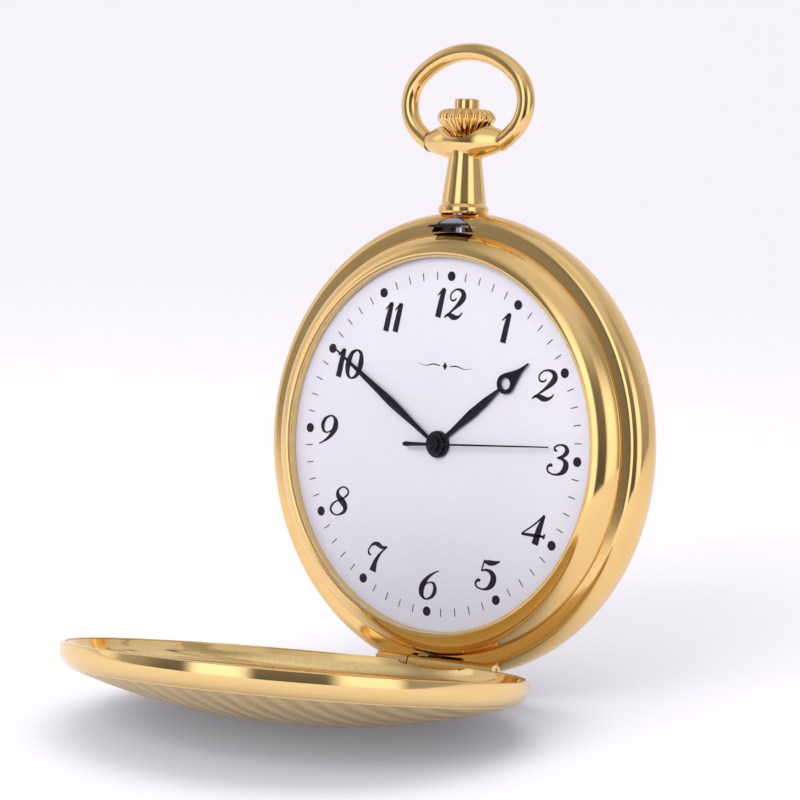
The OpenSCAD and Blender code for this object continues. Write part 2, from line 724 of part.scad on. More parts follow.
module sliding_pinion() color(steel) difference() {
  union() {
    stem_rod(0.8, 9.75, 10.7);
    // face teeth on the end towards the dial axis
    for (i = [0:9]) translate([0, stem_y, 0]) rotate([0, 0, i * 36])
      box([0.45, -0.1, 9.62], [0.78, 0.1, 9.8]);
  }
  // square bore, and the groove for the yoke
  mid_box(0.36, [stem_y - 0.36, stem_y + 0.36], [9, 11]);
  stem_groove(0.58, 10.1, 0.6, 0.3);
}
module setting_lever() color(steel) difference() {
  union() {
    plate(1.5, 1.85) {
      disc(lever_p, 0.6);
      bar(lever_pin_p, lever_p, 0.7);
      disc(lever_pin_p, 0.35);
      bar(lever_p, lever_p + [1.9, -1.2], 0.6);
    }
    // pin that stands in the stem groove
    rod_y(0.14, 1.6, 2.78, lever_pin_p);
  }
  rod_y(0.33, 1, 3, lever_p);
}
module yoke() color(steel) difference() {
  union() {
    plate(1.5, 1.85) {
      disc(yoke_p, 0.7);
      bar(yoke_p, [-0.95, 10.25], 0.5);
      bar(yoke_p, yoke_p + [-2.6, -1.8], 0.6);
    }
    // finger that stands in the pinion groove
    box([-1.08, 1.6, 10.17], [-0.66, 2.9, 10.33]);
  }
  rod_y(0.33, 1, 3, yoke_p);
}
module train_bridge() color(steel) plate(bridge_front_y, bridge_back_y) difference() {
  union() {
    for (i = [0:3]) {
      bar(bridge_screws_p[i], bridge_screws_p[(i + 1) % 4], 2.2);
      disc(bridge_screws_p[i], 1.15);
    }
    bar(bridge_screws_p[0], bridge_screws_p[2], 2.6);
    disc(third_p, 1.3);
    bar(bridge_screws_p[1], inter_p, 2.4);
  }
  // train bearings and screw holes
  circle(r = 0.23);
  disc(third_p, 0.21);
  for (p = [inter_p, rotor_p]) disc(p, 0.19);
  for (p = bridge_screws_p) disc(p, 0.45);
}
module bridge_screws() color(steel) {
  for (i = [0:3]) at(bridge_screws_p[i])
    pan_screw(2.65, (i == clamp_screw_i ? clamp_back_y : bridge_back_y) + gap, head_r = 0.75);
  for (p = coil_screws_p) at(p) pan_screw(2.35, coil_y + core_half + gap, head_r = 0.7);
}
module circuit_board() color("darkgreen") {
  plate(3.1, 3.4) difference() {
    intersection() {
      circle(r = 11.6);
      translate([3.6, -1.6]) square([9, 10.5]);
    }
    disc([3.5, -1.7], 0.9);
    disc(motion_p, 0.5);
  }
  // raised block on the back of the board
  box([6.0, 3.35, 0.2], [8.2, 3.95, 2.4]);
}
module quartz_resonator() color(steel) translate([10.0, 4.05, 1.0]) cylinder(r = 0.6, h = 4.2);

module casing_clamps() color(steel) for (a = clamps_at) clock(a) difference() {
  intersection() {
    mid_box(1.2, [4.13, 4.38], [16.9, 22]);
    rod_y(20.98, 4, 5);
  }
  rod_y(0.5, 3, 6, clamp_screw_p);
}
module casing_screws() color(steel) for (a = clamps_at) clock(a) at(clamp_screw_p)
  pan_screw(3.1, 4.39, head_r = 0.85, head_h = 0.33, shank_r = 0.44);

// ---- hands, drawn pointing to +Z ----
// collar with a chamfered front edge
module hand_boss(outer_r, inner_r, front, back) revolve() polygon([[inner_r, back],
  [outer_r, back], [outer_r, front + 0.12], [outer_r - 0.12, front], [inner_r, front]]);

module hour_hand() color(blackened) clock(hour_at) {
  ring_p = [0, 10.7];
  hand_boss(1.4, 0.87, -0.52, -0.12);
  plate(-0.42, -0.27) difference() {
    union() {
      mirrored([[0.22, 1.2], [0.42, 5.2], [0.1, 9.9]]);
      disc(ring_p, 1.05);
      mirrored([[0.95, 11.1], [0.5, 12.0], [0.09, hour_len]]);
    }
    disc(ring_p, 0.62);
  }
}
module minute_hand() color(blackened) clock(minute_at) {
  hand_boss(1.12, 0.52, -0.92, -0.56);
  plate(-0.78, -0.63) mirrored([[0.2, 0.9], [0.42, 7.0], [0.09, minute_len]]);
}
module seconds_hand() color(blackened) clock(seconds_at) {
  // cap with a blind hole for the arbor
  difference() {
    revolve() polygon([[0, -0.98], [0.72, -0.98], [0.72, -1.22], [0.6, -1.32],
      [0.36, -1.36], [0.3, -1.5], [0, -1.56]]);
    rod_y(0.2, -1.2, 0);
  }
  // needle and tail
  plate(-1.13, -1.0) {
    mirrored([[0.11, 0], [0.07, seconds_len]]);
    mirrored([[0.16, 0], [0.26, -3.5], [0.2, -3.9]]);
  }
}

// moves the centre of the back cover's flat to the origin
module place() translate([0, -back_y, 0]) children();

place() case_middle();
place() pendant();
place() bow();
place() bezel();
place() crystal();
place() crystal_gasket();
place() back_cover();
place() back_cover_gasket();
place() front_lid();
place() lid_hinge_pin();
place() lid_lift_spring();
place() lid_catch();
place() lid_catch_spring();
place() case_spring_screws();
place() crown();
place() crown_sleeve();
place() crown_gasket();
place() pusher_button();
place() pusher_spring();
place() pusher_collar();
place() pusher_cross_pin();
place() setting_stem();
place() movement_ring();
place() dial();
place() main_plate();
place() battery();
place() battery_clamp();
place() coil_winding();
place() coil_core();
place() stator();
place() rotor();
place() intermediate_wheel();
place() seconds_wheel();
place() third_wheel();
place() centre_wheel();
place() minute_wheel();
place() hour_wheel();
place() setting_wheel();
place() sliding_pinion();
place() setting_lever();
place() yoke();
place() train_bridge();
place() bridge_screws();
place() circuit_board();
place() quartz_resonator();
place() casing_clamps();
place() casing_screws();
place() hour_hand();
place() minute_hand();
place() seconds_hand();
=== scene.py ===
import bpy, bmesh, math, json
from math import sin, cos, pi, radians, degrees, sqrt, atan2, hypot
from mathutils import Vector, Matrix, Quaternion

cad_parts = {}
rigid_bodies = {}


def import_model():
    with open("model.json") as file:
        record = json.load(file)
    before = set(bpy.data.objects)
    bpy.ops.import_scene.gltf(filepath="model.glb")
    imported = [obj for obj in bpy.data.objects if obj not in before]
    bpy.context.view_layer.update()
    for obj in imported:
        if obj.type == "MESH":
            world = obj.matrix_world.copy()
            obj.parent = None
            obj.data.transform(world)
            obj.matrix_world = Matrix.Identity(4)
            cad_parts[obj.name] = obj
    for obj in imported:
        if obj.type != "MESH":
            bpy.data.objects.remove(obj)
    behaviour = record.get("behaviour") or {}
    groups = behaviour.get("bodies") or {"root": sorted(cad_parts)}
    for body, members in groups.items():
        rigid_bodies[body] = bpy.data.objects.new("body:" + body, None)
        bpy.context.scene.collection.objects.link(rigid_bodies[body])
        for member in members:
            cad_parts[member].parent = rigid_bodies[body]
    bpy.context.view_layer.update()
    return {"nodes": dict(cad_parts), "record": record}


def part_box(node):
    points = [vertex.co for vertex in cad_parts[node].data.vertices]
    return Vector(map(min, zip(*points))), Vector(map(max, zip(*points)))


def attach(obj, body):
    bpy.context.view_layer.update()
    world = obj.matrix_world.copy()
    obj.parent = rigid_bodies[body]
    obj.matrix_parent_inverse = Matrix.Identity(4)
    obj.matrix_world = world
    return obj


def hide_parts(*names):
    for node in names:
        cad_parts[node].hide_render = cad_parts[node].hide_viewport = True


for o in list(bpy.data.objects):
    bpy.data.objects.remove(o)
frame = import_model()
NODES = frame["nodes"]
MM = 0.001

# everything below is drawn in millimetres about the centre of the dial face, then set in the frame
DIAL_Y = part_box("dial")[0].y / MM
SET = Matrix.Translation((0, DIAL_Y * MM, 0)) @ Matrix.Scale(MM, 4)
YP, ZB, YH, ZH = 2.8, 31.5, 0.85, -22.9
LID_OPEN = 85.0


# ---------------------------------------------------------------- mesh helpers
def finish_mesh(name, bm, mat, body, replaces=(), angle=28, place=None, recalc=True, smooth=True):
    if recalc:
        bmesh.ops.recalc_face_normals(bm, faces=bm.faces)
    me = bpy.data.meshes.new(name)
    bm.to_mesh(me)
    bm.free()
    m = SET if place is None else SET @ place
    me.transform(m)
    if smooth:
        for p in me.polygons:
            p.use_smooth = True
        me.set_sharp_from_angle(angle=radians(angle))
    o = bpy.data.objects.new(name, me)
    bpy.context.scene.collection.objects.link(o)
    me.materials.append(mat)
    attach(o, body)
    if replaces:
        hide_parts(*replaces)
    return o


def fillet(points, k=4):
    """points of [r, y] or [r, y, radius] round a closed outline; corners with a radius become arcs"""
    out, n = [], len(points)
    for i, p in enumerate(points):
        if len(p) < 3 or p[2] <= 0:
            out.append((p[0], p[1]))
            continue
        c, a, b = Vector(p[:2]), Vector(points[i - 1][:2]), Vector(points[(i + 1) % n][:2])
        u, v = a - c, b - c
        lu, lv = u.length, v.length
        u, v = u / lu, v / lv
        ang = math.acos(max(-1, min(1, u.dot(v))))
        d = min(p[2] / math.tan(ang / 2), 0.48 * lu, 0.48 * lv)
        rad = d * math.tan(ang / 2)
        m = (u + v).normalized()
        o = c + m * (rad / sin(ang / 2))
        s0, s1 = c + u * d - o, c + v * d - o
        t0, t1 = atan2(s0.y, s0.x), atan2(s1.y, s1.x)
        dt = (t1 - t0 + pi) % (2 * pi) - pi
        for j in range(k + 1):
            t = t0 + dt * j / k
            out.append((o.x + rad * cos(t), o.y + rad * sin(t)))
    return out


def arc(cx, cy, a, b, t0, t1, n):
    return [(cx + a * cos(radians(t0 + (t1 - t0) * i / n)), cy + b * sin(radians(t0 + (t1 - t0) * i / n))) for i in range(n + 1)]


def quad(p, q, r, n):
    return [((1 - t) ** 2 * p[0] + 2 * t * (1 - t) * q[0] + t * t * r[0], (1 - t) ** 2 * p[1] + 2 * t * (1 - t) * q[1] + t * t * r[1]) for t in [i / n for i in range(n + 1)]]


def lathe_bm(prof, n=256, axis="Y"):
    """closed outline of (r, h) turned about Y (or Z)"""
    bm = bmesh.new()
    clean = []
    for p in prof:
        if not clean or hypot(p[0] - clean[-1][0], p[1] - clean[-1][1]) > 1e-5:
            clean.append(p)
    if hypot(clean[0][0] - clean[-1][0], clean[0][1] - clean[-1][1]) < 1e-5:
        clean.pop()
    rings = []
    for r, h in clean:
        if r < 1e-6:
            rings.append([bm.verts.new((0, h, 0) if axis == "Y" else (0, 0, h))])
        else:
            ring = []
            for i in range(n):
                t = 2 * pi * i / n
                ring.append(bm.verts.new((r * sin(t), h, r * cos(t)) if axis == "Y" else (r * cos(t), r * sin(t), h)))
            rings.append(ring)
    m = len(rings)
    for j in range(m):
        a, b = rings[j], rings[(j + 1) % m]
        if len(a) == 1 and len(b) == 1:
            continue
        for i in range(n):
            k = (i + 1) % n
            if len(a) == 1:
                bm.faces.new((a[0], b[i], b[k]))
            elif len(b) == 1:
                bm.faces.new((a[i], b[0], a[k]))
            else:
                bm.faces.new((a[i], b[i], b[k], a[k]))
    return bm


def tube_bm(path, radius, n=24, closed=False, caps=True):
    """round stock along a path of points"""
    bm = bmesh.new()
    P = [Vector(p) for p in path]
    m = len(P)
    T = []
    for i in range(m):
        a = P[(i - 1) % m] if closed or i else P[0]
        b = P[(i + 1) % m] if closed or i < m - 1 else P[-1]
        T.append((b - a).normalized())
    up = Vector((0, 1, 0)) if abs(T[0].y) < 0.9 else Vector((1, 0, 0))
    nrm = (up - T[0] * up.dot(T[0])).normalized()
    rings = []
    for i in range(m):
        nrm = (nrm - T[i] * nrm.dot(T[i])).normalized()
        bi = T[i].cross(nrm)
        rad = radius[i] if isinstance(radius, (list, tuple)) else radius
        rings.append([bm.verts.new(P[i] + (nrm * cos(2 * pi * k / n) + bi * sin(2 * pi * k / n)) * rad) for k in range(n)])
    for i in range(m if closed else m - 1):
        a, b = rings[i], rings[(i + 1) % m]
        for k in range(n):
            bm.faces.new((a[k], b[k], b[(k + 1) % n], a[(k + 1) % n]))
    if caps and not closed:
        bm.faces.new(rings[0])
        bm.faces.new(rings[-1])
    return bm


def cyl_bm(r, h0, h1, at=(0, 0, 0), axis="Z", n=48, chamfer=0.0):
    bm = lathe_bm([(0, h0)] + ([(r - chamfer, h0), (r, h0 + chamfer), (r, h1 - chamfer), (r - chamfer, h1)] if chamfer else [(r, h0), (r, h1)]) + [(0, h1)], n, "Z")
    if axis == "X":
        bm.transform(Matrix.Rotation(pi / 2, 4, "Y"))
    elif axis == "Y":
        bm.transform(Matrix.Rotation(-pi / 2, 4, "X"))
    bm.transform(Matrix.Translation(at))
    return bm


def box_bm(a, b):
    bm = bmesh.new()
    bmesh.ops.create_cube(bm, size=1)
    bm.transform(Matrix.Translation([(a[i] + b[i]) / 2 for i in range(3)]) @ Matrix.Diagonal([b[i] - a[i] for i in range(3)] + [1]))
    return bm


def plate_bm(outline, y0, y1, holes=()):
    """flat shape of (x, z) points between two depths"""
    bm = bmesh.new()
    loops = [outline] + list(holes)
    edges = []
    for lp in loops:
        vs = [bm.verts.new((p[0], y0, p[1])) for p in lp]
        edges += [bm.edges.new((vs[i], vs[(i + 1) % len(vs)])) for i in range(len(vs))]
    bmesh.ops.triangle_fill(bm, edges=edges, use_beauty=True)
    res = bmesh.ops.extrude_face_region(bm, geom=list(bm.faces))
    bmesh.ops.translate(bm, verts=[v for v in res["geom"] if isinstance(v, bmesh.types.BMVert)], vec=(0, y1 - y0, 0))
    return bm


def join_bm(*parts):
    out = bmesh.new()
    for b in parts:
        me = bpy.data.meshes.new("tmp")
        b.to_mesh(me)
        out.from_mesh(me)
        bpy.data.meshes.remove(me)
        b.free()
    return out


def boolean(base, op, *tools):
    """exact boolean on bmeshes, in millimetres"""
    def obj(b):
        bmesh.ops.recalc_face_normals(b, faces=b.faces)
        me = bpy.data.meshes.new("tmp")
        b.to_mesh(me)
        b.free()
        o = bpy.data.objects.new("tmp", me)
        bpy.context.scene.collection.objects.link(o)
        return o
    o = obj(base)
    ts = [obj(t) for t in tools]
    for t in ts:
        m = o.modifiers.new("b", "BOOLEAN")
        m.operation, m.solver, m.object = op, "EXACT", t
        m.use_self = False
    dg = bpy.context.evaluated_depsgraph_get()
    dg.update()
    me = bpy.data.meshes.new_from_object(o.evaluated_get(dg))
    bm = bmesh.new()
    bm.from_mesh(me)
    for x in [o] + ts:
        d = x.data
        bpy.data.objects.remove(x)
        bpy.data.meshes.remove(d)
    bpy.data.meshes.remove(me)
    return bm


def bevel(o, width, segments=2, angle=35):
    m = o.modifiers.new("edge", "BEVEL")
    m.width, m.segments, m.limit_method, m.angle_limit = width * MM, segments, "ANGLE", radians(angle)
    m.harden_normals = True
    m.miter_outer = "MITER_ARC"
    return o


# ---------------------------------------------------------------- materials
def mat_new(name):
    m = bpy.data.materials.new(name)
    m.use_nodes = True
    nt = m.node_tree
    nt.nodes.clear()
    out = nt.nodes.new("ShaderNodeOutputMaterial")
    b = nt.nodes.new("ShaderNodeBsdfPrincipled")
    nt.links.new(b.outputs[0], out.inputs[0])
    return m, nt, b


def nd(nt, kind, **k):
    n = nt.nodes.new(kind)
    for a, v in k.items():
        if a.startswith("i_"):
            key = a[2:]
            n.inputs[int(key) if key.isdigit() else key.replace("_", " ")].default_value = v
        else:
            setattr(n, a, v)
    return n


def coords(nt, scale=(1, 1, 1), rot=(0, 0, 0), loc=(0, 0, 0)):
    tc = nd(nt, "ShaderNodeTexCoord")
    mp = nd(nt, "ShaderNodeMapping")
    mp.inputs["Scale"].default_value = scale
    mp.inputs["Rotation"].default_value = rot
    mp.inputs["Location"].default_value = loc
    nt.links.new(tc.outputs["Object"], mp.inputs["Vector"])
    return mp.outputs["Vector"]


def ramp(nt, fac, stops):
    r = nd(nt, "ShaderNodeValToRGB")
    r.color_ramp.elements[0].position, r.color_ramp.elements[0].color = stops[0][0], (*stops[0][1], 1)
    r.color_ramp.elements[1].position, r.color_ramp.elements[1].color = stops[-1][0], (*stops[-1][1], 1)
    for p, c in stops[1:-1]:
        e = r.color_ramp.elements.new(p)
        e.color = (*c, 1)
    nt.links.new(fac, r.inputs[0])
    return r.outputs[0]


def maprange(nt, val, a, b, c, d):
    m = nd(nt, "ShaderNodeMapRange")
    for i, x in zip((1, 2, 3, 4), (a, b, c, d)):
        m.inputs[i].default_value = x
    nt.links.new(val, m.inputs[0])
    return m.outputs[0]


def metal(name, col, col2, rough, rough_var=0.04, scratch=0.02, grain=900.0, bump=0.02, aniso=0.0, wear=0.0):
    """plated or bare metal: faint colour drift, hairline scratches in the roughness and a very fine surface wave"""
    m, nt, b = mat_new(name)
    L = nt.links.new
    v = coords(nt, (1, 1, 1))
    n1 = nd(nt, "ShaderNodeTexNoise", i_Scale=140.0, i_Detail=4.0, i_Roughness=0.55)
    L(v, n1.inputs["Vector"])
    L(ramp(nt, n1.outputs[0], [(0.35, col), (0.7, col2)]), b.inputs["Base Color"])
    v2 = coords(nt, (grain, grain * 0.06, grain), (0.3, 0.5, 0.7))
    n2 = nd(nt, "ShaderNodeTexNoise", i_Scale=3.0, i_Detail=3.0, i_Roughness=0.7)
    L(v2, n2.inputs["Vector"])
    L(maprange(nt, n2.outputs[0], 0.3, 0.75, rough - rough_var * 0.5, rough + rough_var), b.inputs["Roughness"])
    b.inputs["Metallic"].default_value = 1.0
    if bump:
        bp = nd(nt, "ShaderNodeBump", i_Strength=bump, i_Distance=0.00002)
        L(n2.outputs[0], bp.inputs["Height"])
        L(bp.outputs[0], b.inputs["Normal"])
    return m


def plastic(name, col, col2, rough, bump=0.05, scale=900.0, spec=0.5):
    m, nt, b = mat_new(name)
    L = nt.links.new
    v = coords(nt)
    n1 = nd(nt, "ShaderNodeTexNoise", i_Scale=scale, i_Detail=3.0, i_Roughness=0.6)
    L(v, n1.inputs["Vector"])
    L(ramp(nt, n1.outputs[0], [(0.3, col), (0.75, col2)]), b.inputs["Base Color"])
    L(maprange(nt, n1.outputs[0], 0.3, 0.75, rough - 0.05, rough + 0.06), b.inputs["Roughness"])
    b.inputs["Specular IOR Level"].default_value = spec
    bp = nd(nt, "ShaderNodeBump", i_Strength=bump, i_Distance=0.00003)
    L(n1.outputs[0], bp.inputs["Height"])
    L(bp.outputs[0], b.inputs["Normal"])
    return m


GOLD_A, GOLD_B = (0.88, 0.605, 0.255), (0.85, 0.570, 0.225)
gold = metal("gold_polished", GOLD_A, GOLD_B, 0.085, 0.03, bump=0.012)
gold_soft = metal("gold_soft", GOLD_A, GOLD_B, 0.14, 0.05, bump=0.03)
steel = metal("steel_parts", (0.62, 0.62, 0.65), (0.50, 0.50, 0.54), 0.26, 0.1, bump=0.06)
steel_dark = metal("steel_polished", (0.50, 0.48, 0.53), (0.40, 0.385, 0.43), 0.10, 0.05, bump=0.03)
steel_painted_dark_and_highlight = metal("steel_painted_dark_and_highlight", (0.085, 0.060, 0.075), (0.060, 0.042, 0.055), 0.22, 0.05, bump=0.03)
# painted shade and highlight on the tongue's front: the colour is painted near black below, a painted dark reflection,
# and painted bright lilac along the rolled upper edge, a painted highlight
nt = steel_painted_dark_and_highlight.node_tree
b = next(n for n in nt.nodes if n.type == "BSDF_PRINCIPLED")
sep = nd(nt, "ShaderNodeSeparateXYZ")
nt.links.new(coords(nt), sep.inputs[0])
# painted highlight: the colour ramps from the painted dark to bright lilac over the top 0.2 mm of the tongue
nt.links.new(ramp(nt, maprange(nt, sep.outputs[2], 0.02278, 0.02298, 0.0, 1.0), [(0.0, (0.085, 0.060, 0.075)), (1.0, (0.80, 0.77, 0.88))]), b.inputs["Base Color"])
plate_metal = metal("movement_plate", (0.72, 0.69, 0.63), (0.62, 0.60, 0.55), 0.34, 0.12, bump=0.12)
train = metal("train_brass", (0.80, 0.62, 0.28), (0.70, 0.52, 0.22), 0.3, 0.1, bump=0.1)
magnet = metal("rotor_magnet", (0.16, 0.16, 0.18), (0.22, 0.22, 0.24), 0.4, 0.1, bump=0.1)
iron = metal("soft_iron", (0.42, 0.42, 0.45), (0.52, 0.52, 0.54), 0.42, 0.12, bump=0.12)
cell = metal("battery_steel", (0.70, 0.70, 0.72), (0.62, 0.62, 0.65), 0.22, 0.08, bump=0.05)
holder = plastic("holder_plastic", (0.80, 0.80, 0.78), (0.86, 0.86, 0.84), 0.5)
# the white nylon is coloured tan-gold instead of white, a painted reflection of the surrounding gold
nylon = plastic("white_nylon", (0.70, 0.52, 0.28), (0.76, 0.57, 0.32), 0.45)
rubber = plastic("black_rubber", (0.012, 0.012, 0.013), (0.03, 0.03, 0.032), 0.65, 0.2)
board = plastic("circuit_laminate", (0.012, 0.10, 0.045), (0.02, 0.16, 0.07), 0.42, 0.08)
black = plastic("hand_black", (0.006, 0.004, 0.009), (0.012, 0.009, 0.017), 0.34, 0.02, 700.0, 0.25)
ink = plastic("dial_ink", (0.016, 0.011, 0.020), (0.026, 0.019, 0.032), 0.5, 0.05, 1500.0, 0.2)

# enamelled wire: fine turns round the coil's axis
coil, nt, b = mat_new("coil_copper")
v = coords(nt)
w = nd(nt, "ShaderNodeTexWave", i_Scale=4200.0, i_Distortion=0.4)
w.bands_direction = "X"
nt.links.new(v, w.inputs["Vector"])
nt.links.new(ramp(nt, w.outputs[0], [(0.0, (0.22, 0.07, 0.02)), (1.0, (0.62, 0.25, 0.10))]), b.inputs["Base Color"])
b.inputs["Metallic"].default_value, b.inputs["Roughness"].default_value = 0.9, 0.35
bp = nd(nt, "ShaderNodeBump", i_Strength=0.5, i_Distance=0.00004)
nt.links.new(w.outputs[0], bp.inputs["Height"])
nt.links.new(bp.outputs[0], b.inputs["Normal"])

# dial: silky white lacquer with a hint of lavender and a very fine grain
dialm, nt, b = mat_new("dial_white")
v = coords(nt)
n1 = nd(nt, "ShaderNodeTexNoise", i_Scale=90.0, i_Detail=3.0, i_Roughness=0.5)
n2 = nd(nt, "ShaderNodeTexNoise", i_Scale=6000.0, i_Detail=2.0, i_Roughness=0.6)
nt.links.new(v, n1.inputs["Vector"])
nt.links.new(v, n2.inputs["Vector"])
nt.links.new(ramp(nt, n1.outputs[0], [(0.3, (0.80, 0.775, 0.84)), (0.7, (0.83, 0.805, 0.86))]), b.inputs["Base Color"])
b.inputs["Roughness"].default_value = 0.42
b.inputs["Specular IOR Level"].default_value = 0.35
bp = nd(nt, "ShaderNodeBump", i_Strength=0.05, i_Distance=0.00001)
nt.links.new(n2.outputs[0], bp.inputs["Height"])
nt.links.new(bp.outputs[0], b.inputs["Normal"])

# watch glass: clear, with a weak reflection that grows towards the edge
glass = bpy.data.materials.new("crystal_glass")
glass.use_nodes = True
nt = glass.node_tree
nt.nodes.clear()
out = nd(nt, "ShaderNodeOutputMaterial")
tr = nd(nt, "ShaderNodeBsdfTransparent")
tr.inputs[0].default_value = (0.985, 0.985, 0.99, 1)
gl = nd(nt, "ShaderNodeBsdfGlossy")
gl.inputs["Roughness"].default_value = 0.01
lw = nd(nt, "ShaderNodeFresnel", i_IOR=1.12)
nz = nd(nt, "ShaderNodeTexNoise", i_Scale=60.0, i_Detail=2.0)
nt.links.new(coords(nt), nz.inputs["Vector"])
mu = nd(nt, "ShaderNodeMath", operation="MULTIPLY")
nt.links.new(lw.outputs[0], mu.inputs[0])
nt.links.new(maprange(nt, nz.outputs[0], 0.3, 0.7, 0.30, 0.36), mu.inputs[1])
mx = nd(nt, "ShaderNodeMixShader")
nt.links.new(mu.outputs[0], mx.inputs[0])
nt.links.new(tr.outputs[0], mx.inputs[1])
nt.links.new(gl.outputs[0], mx.inputs[2])
nt.links.new(mx.outputs[0], out.inputs[0])

# ---------------------------------------------------------------- lid placing
LID = Matrix.Translation((0, YH, ZH)) @ Matrix.Rotation(radians(LID_OPEN), 4, "X") @ Matrix.Translation((0, -YH, -ZH))
LID_INV = LID.inverted()


def lid_radial(nt):
    """in a lid material: x, z and radius of the point on the closed lid, in millimetres"""
    L = nt.links.new
    tc = nd(nt, "ShaderNodeTexCoord")
    m = LID_INV @ SET.inverted()
    comps = []
    for row in (0, 1, 2):
        d = nd(nt, "ShaderNodeVectorMath", operation="DOT_PRODUCT")
        L(tc.outputs["Object"], d.inputs[0])
        d.inputs[1].default_value = (m[row][0], m[row][1], m[row][2])
        a = nd(nt, "ShaderNodeMath", operation="ADD")
        L(d.outputs["Value"], a.inputs[0])
        a.inputs[1].default_value = m[row][3]
        comps.append(a.outputs[0])
    return comps


def mth(nt, op, a, b=None, c=None):
    n = nd(nt, "ShaderNodeMath", operation=op)
    for i, x in enumerate((a, b, c)):
        if x is None:
            continue
        if isinstance(x, (int, float)):
            n.inputs[i].default_value = x
        else:
            nt.links.new(x, n.inputs[i])
    return n.outputs[0]


def lid_material(name, inside):
    m, nt, b = mat_new(name)
    L = nt.links.new
    x, y, z = lid_radial(nt)
    r = mth(nt, "SQRT", mth(nt, "ADD", mth(nt, "MULTIPLY", x, x), mth(nt, "MULTIPLY", z, z)))
    th = mth(nt, "ARCTAN2", z, x)
    cv = nd(nt, "ShaderNodeCombineXYZ")
    L(x, cv.inputs[0])
    L(y, cv.inputs[1])
    L(z, cv.inputs[2])
    if inside:
        # satin floor: fine mottled grain, polished wall
        n1 = nd(nt, "ShaderNodeTexNoise", i_Scale=2.2, i_Detail=6.0, i_Roughness=0.72)
        L(cv.outputs[0], n1.inputs["Vector"])
        floor = maprange(nt, r, 20.6, 21.3, 1.0, 0.0)
        L(ramp(nt, n1.outputs[0], [(0.3, (0.82, 0.585, 0.25)), (0.72, (0.91, 0.69, 0.33))]), b.inputs["Base Color"])
        L(mth(nt, "ADD", 0.085, mth(nt, "MULTIPLY", floor, maprange(nt, n1.outputs[0], 0.3, 0.7, 0.20, 0.36))), b.inputs["Roughness"])
        bp = nd(nt, "ShaderNodeBump", i_Distance=0.00006)
        n2 = nd(nt, "ShaderNodeTexNoise", i_Scale=9.0, i_Detail=4.0, i_Roughness=0.7)
        L(cv.outputs[0], n2.inputs["Vector"])
        L(n2.outputs[0], bp.inputs["Height"])
        L(mth(nt, "MULTIPLY", floor, 0.55), bp.inputs["Strength"])
        L(bp.outputs[0], b.inputs["Normal"])
    else:
        # engine-turned dome: straight brushed bands that slant across it, inside the engraved line; the bands are real
        # in the bump and roughness, and are also painted into the colour as lighter and darker gold, a painted sheen
        dome = maprange(nt, r, 21.7, 21.85, 1.0, 0.0)
        u = mth(nt, "ADD", mth(nt, "MULTIPLY", x, 0.98), mth(nt, "MULTIPLY", z, -0.198))
        band = mth(nt, "SINE", mth(nt, "MULTIPLY", u, 3.1))
        fine = mth(nt, "SINE", mth(nt, "MULTIPLY", mth(nt, "ADD", mth(nt, "MULTIPLY", x, 0.98), mth(nt, "MULTIPLY", z, -0.198)), 40.0))
        band_pattern_and_sheen = maprange(nt, band, -0.3, 0.3, 0.0, 1.0)
        # painted sheen: the base colour goes lighter gold along the bands
        L(ramp(nt, mth(nt, "ADD", mth(nt, "MULTIPLY", mth(nt, "MULTIPLY", band_pattern_and_sheen, dome), 0.7), 0.2), [(0.0, (0.84, 0.585, 0.24)), (0.9, (0.97, 0.73, 0.37))]), b.inputs["Base Color"])
        L(mth(nt, "ADD", 0.085, mth(nt, "MULTIPLY", dome, maprange(nt, band_pattern_and_sheen, 0.0, 1.0, 0.20, 0.30))), b.inputs["Roughness"])
        bp = nd(nt, "ShaderNodeBump", i_Distance=0.00003)
        L(mth(nt, "ADD", mth(nt, "MULTIPLY", band, 0.5), mth(nt, "MULTIPLY", fine, 0.25)), bp.inputs["Height"])
        L(mth(nt, "MULTIPLY", dome, 0.5), bp.inputs["Strength"])
        L(bp.outputs[0], b.inputs["Normal"])
    b.inputs["Metallic"].default_value = 1.0
    return m


lid_out_m = lid_material("gold_lid_outside", False)
lid_in_m = lid_material("gold_lid_inside", True)

# ---------------------------------------------------------------- case band
seat_r, case_r, seat_y, back_seat_y, back_y, back_flat = 22.9, 24.1, 1.0, 5.0, 6.6, 15.0
bf = [(seat_r + (case_r - seat_r) * sin(pi / 2 * i / 24), seat_y + 1.7 * (1 - cos(pi / 2 * i / 24))) for i in range(25)]
bb = [(seat_r + (case_r - seat_r) * cos(radians(66 * i / 16)), 2.7 + (back_seat_y - 2.7) / sin(radians(66)) * sin(radians(66 * i / 16))) for i in range(1, 17)]
prof = fillet([(20.7, 1.9), (21.45, 1.9), (21.45, seat_y, 0.05), (22.0, seat_y)]) + bf + bb + [(21.4, back_seat_y), (21.4, 4.12), (20.7, 4.12)]
band = lathe_bm(prof, 288)
knuckles = [cyl_bm(0.75, 3.4, 7.6, (0, YH, ZH), "X", 48, 0.06), cyl_bm(0.75, -7.6, -3.4, (0, YH, ZH), "X", 48, 0.06)]
band = boolean(band, "UNION", *knuckles)
band = boolean(
    band, "DIFFERENCE",
    cyl_bm(0.85, -3.45, 3.45, (0, YH, ZH), "X", 48),
    cyl_bm(0.36, -9, 9, (0, YH, ZH), "X", 32),
    box_bm((-3.2, 0, -22.6), (3.2, 2.35, -21.95)),
    box_bm((-3.2, 2.05, -22.6), (3.2, 3.3, -19.5)),
    boolean(box_bm((-3.0, 0, 21.95), (3.0, 2.3, 24.0)), "INTERSECT", cyl_bm(3.1, -1, 3, (0, 0, 20.45), "Y", 128)),
    box_bm((-2.55, 1.95, 19.5), (2.55, 3.85, 23.55)),
    cyl_bm(1.3, 19, 26, (0, YP, 0), "Z", 48),
)
case = finish_mesh("case_band", band, gold, "case", ("case_middle",))
bevel(case, 0.03)

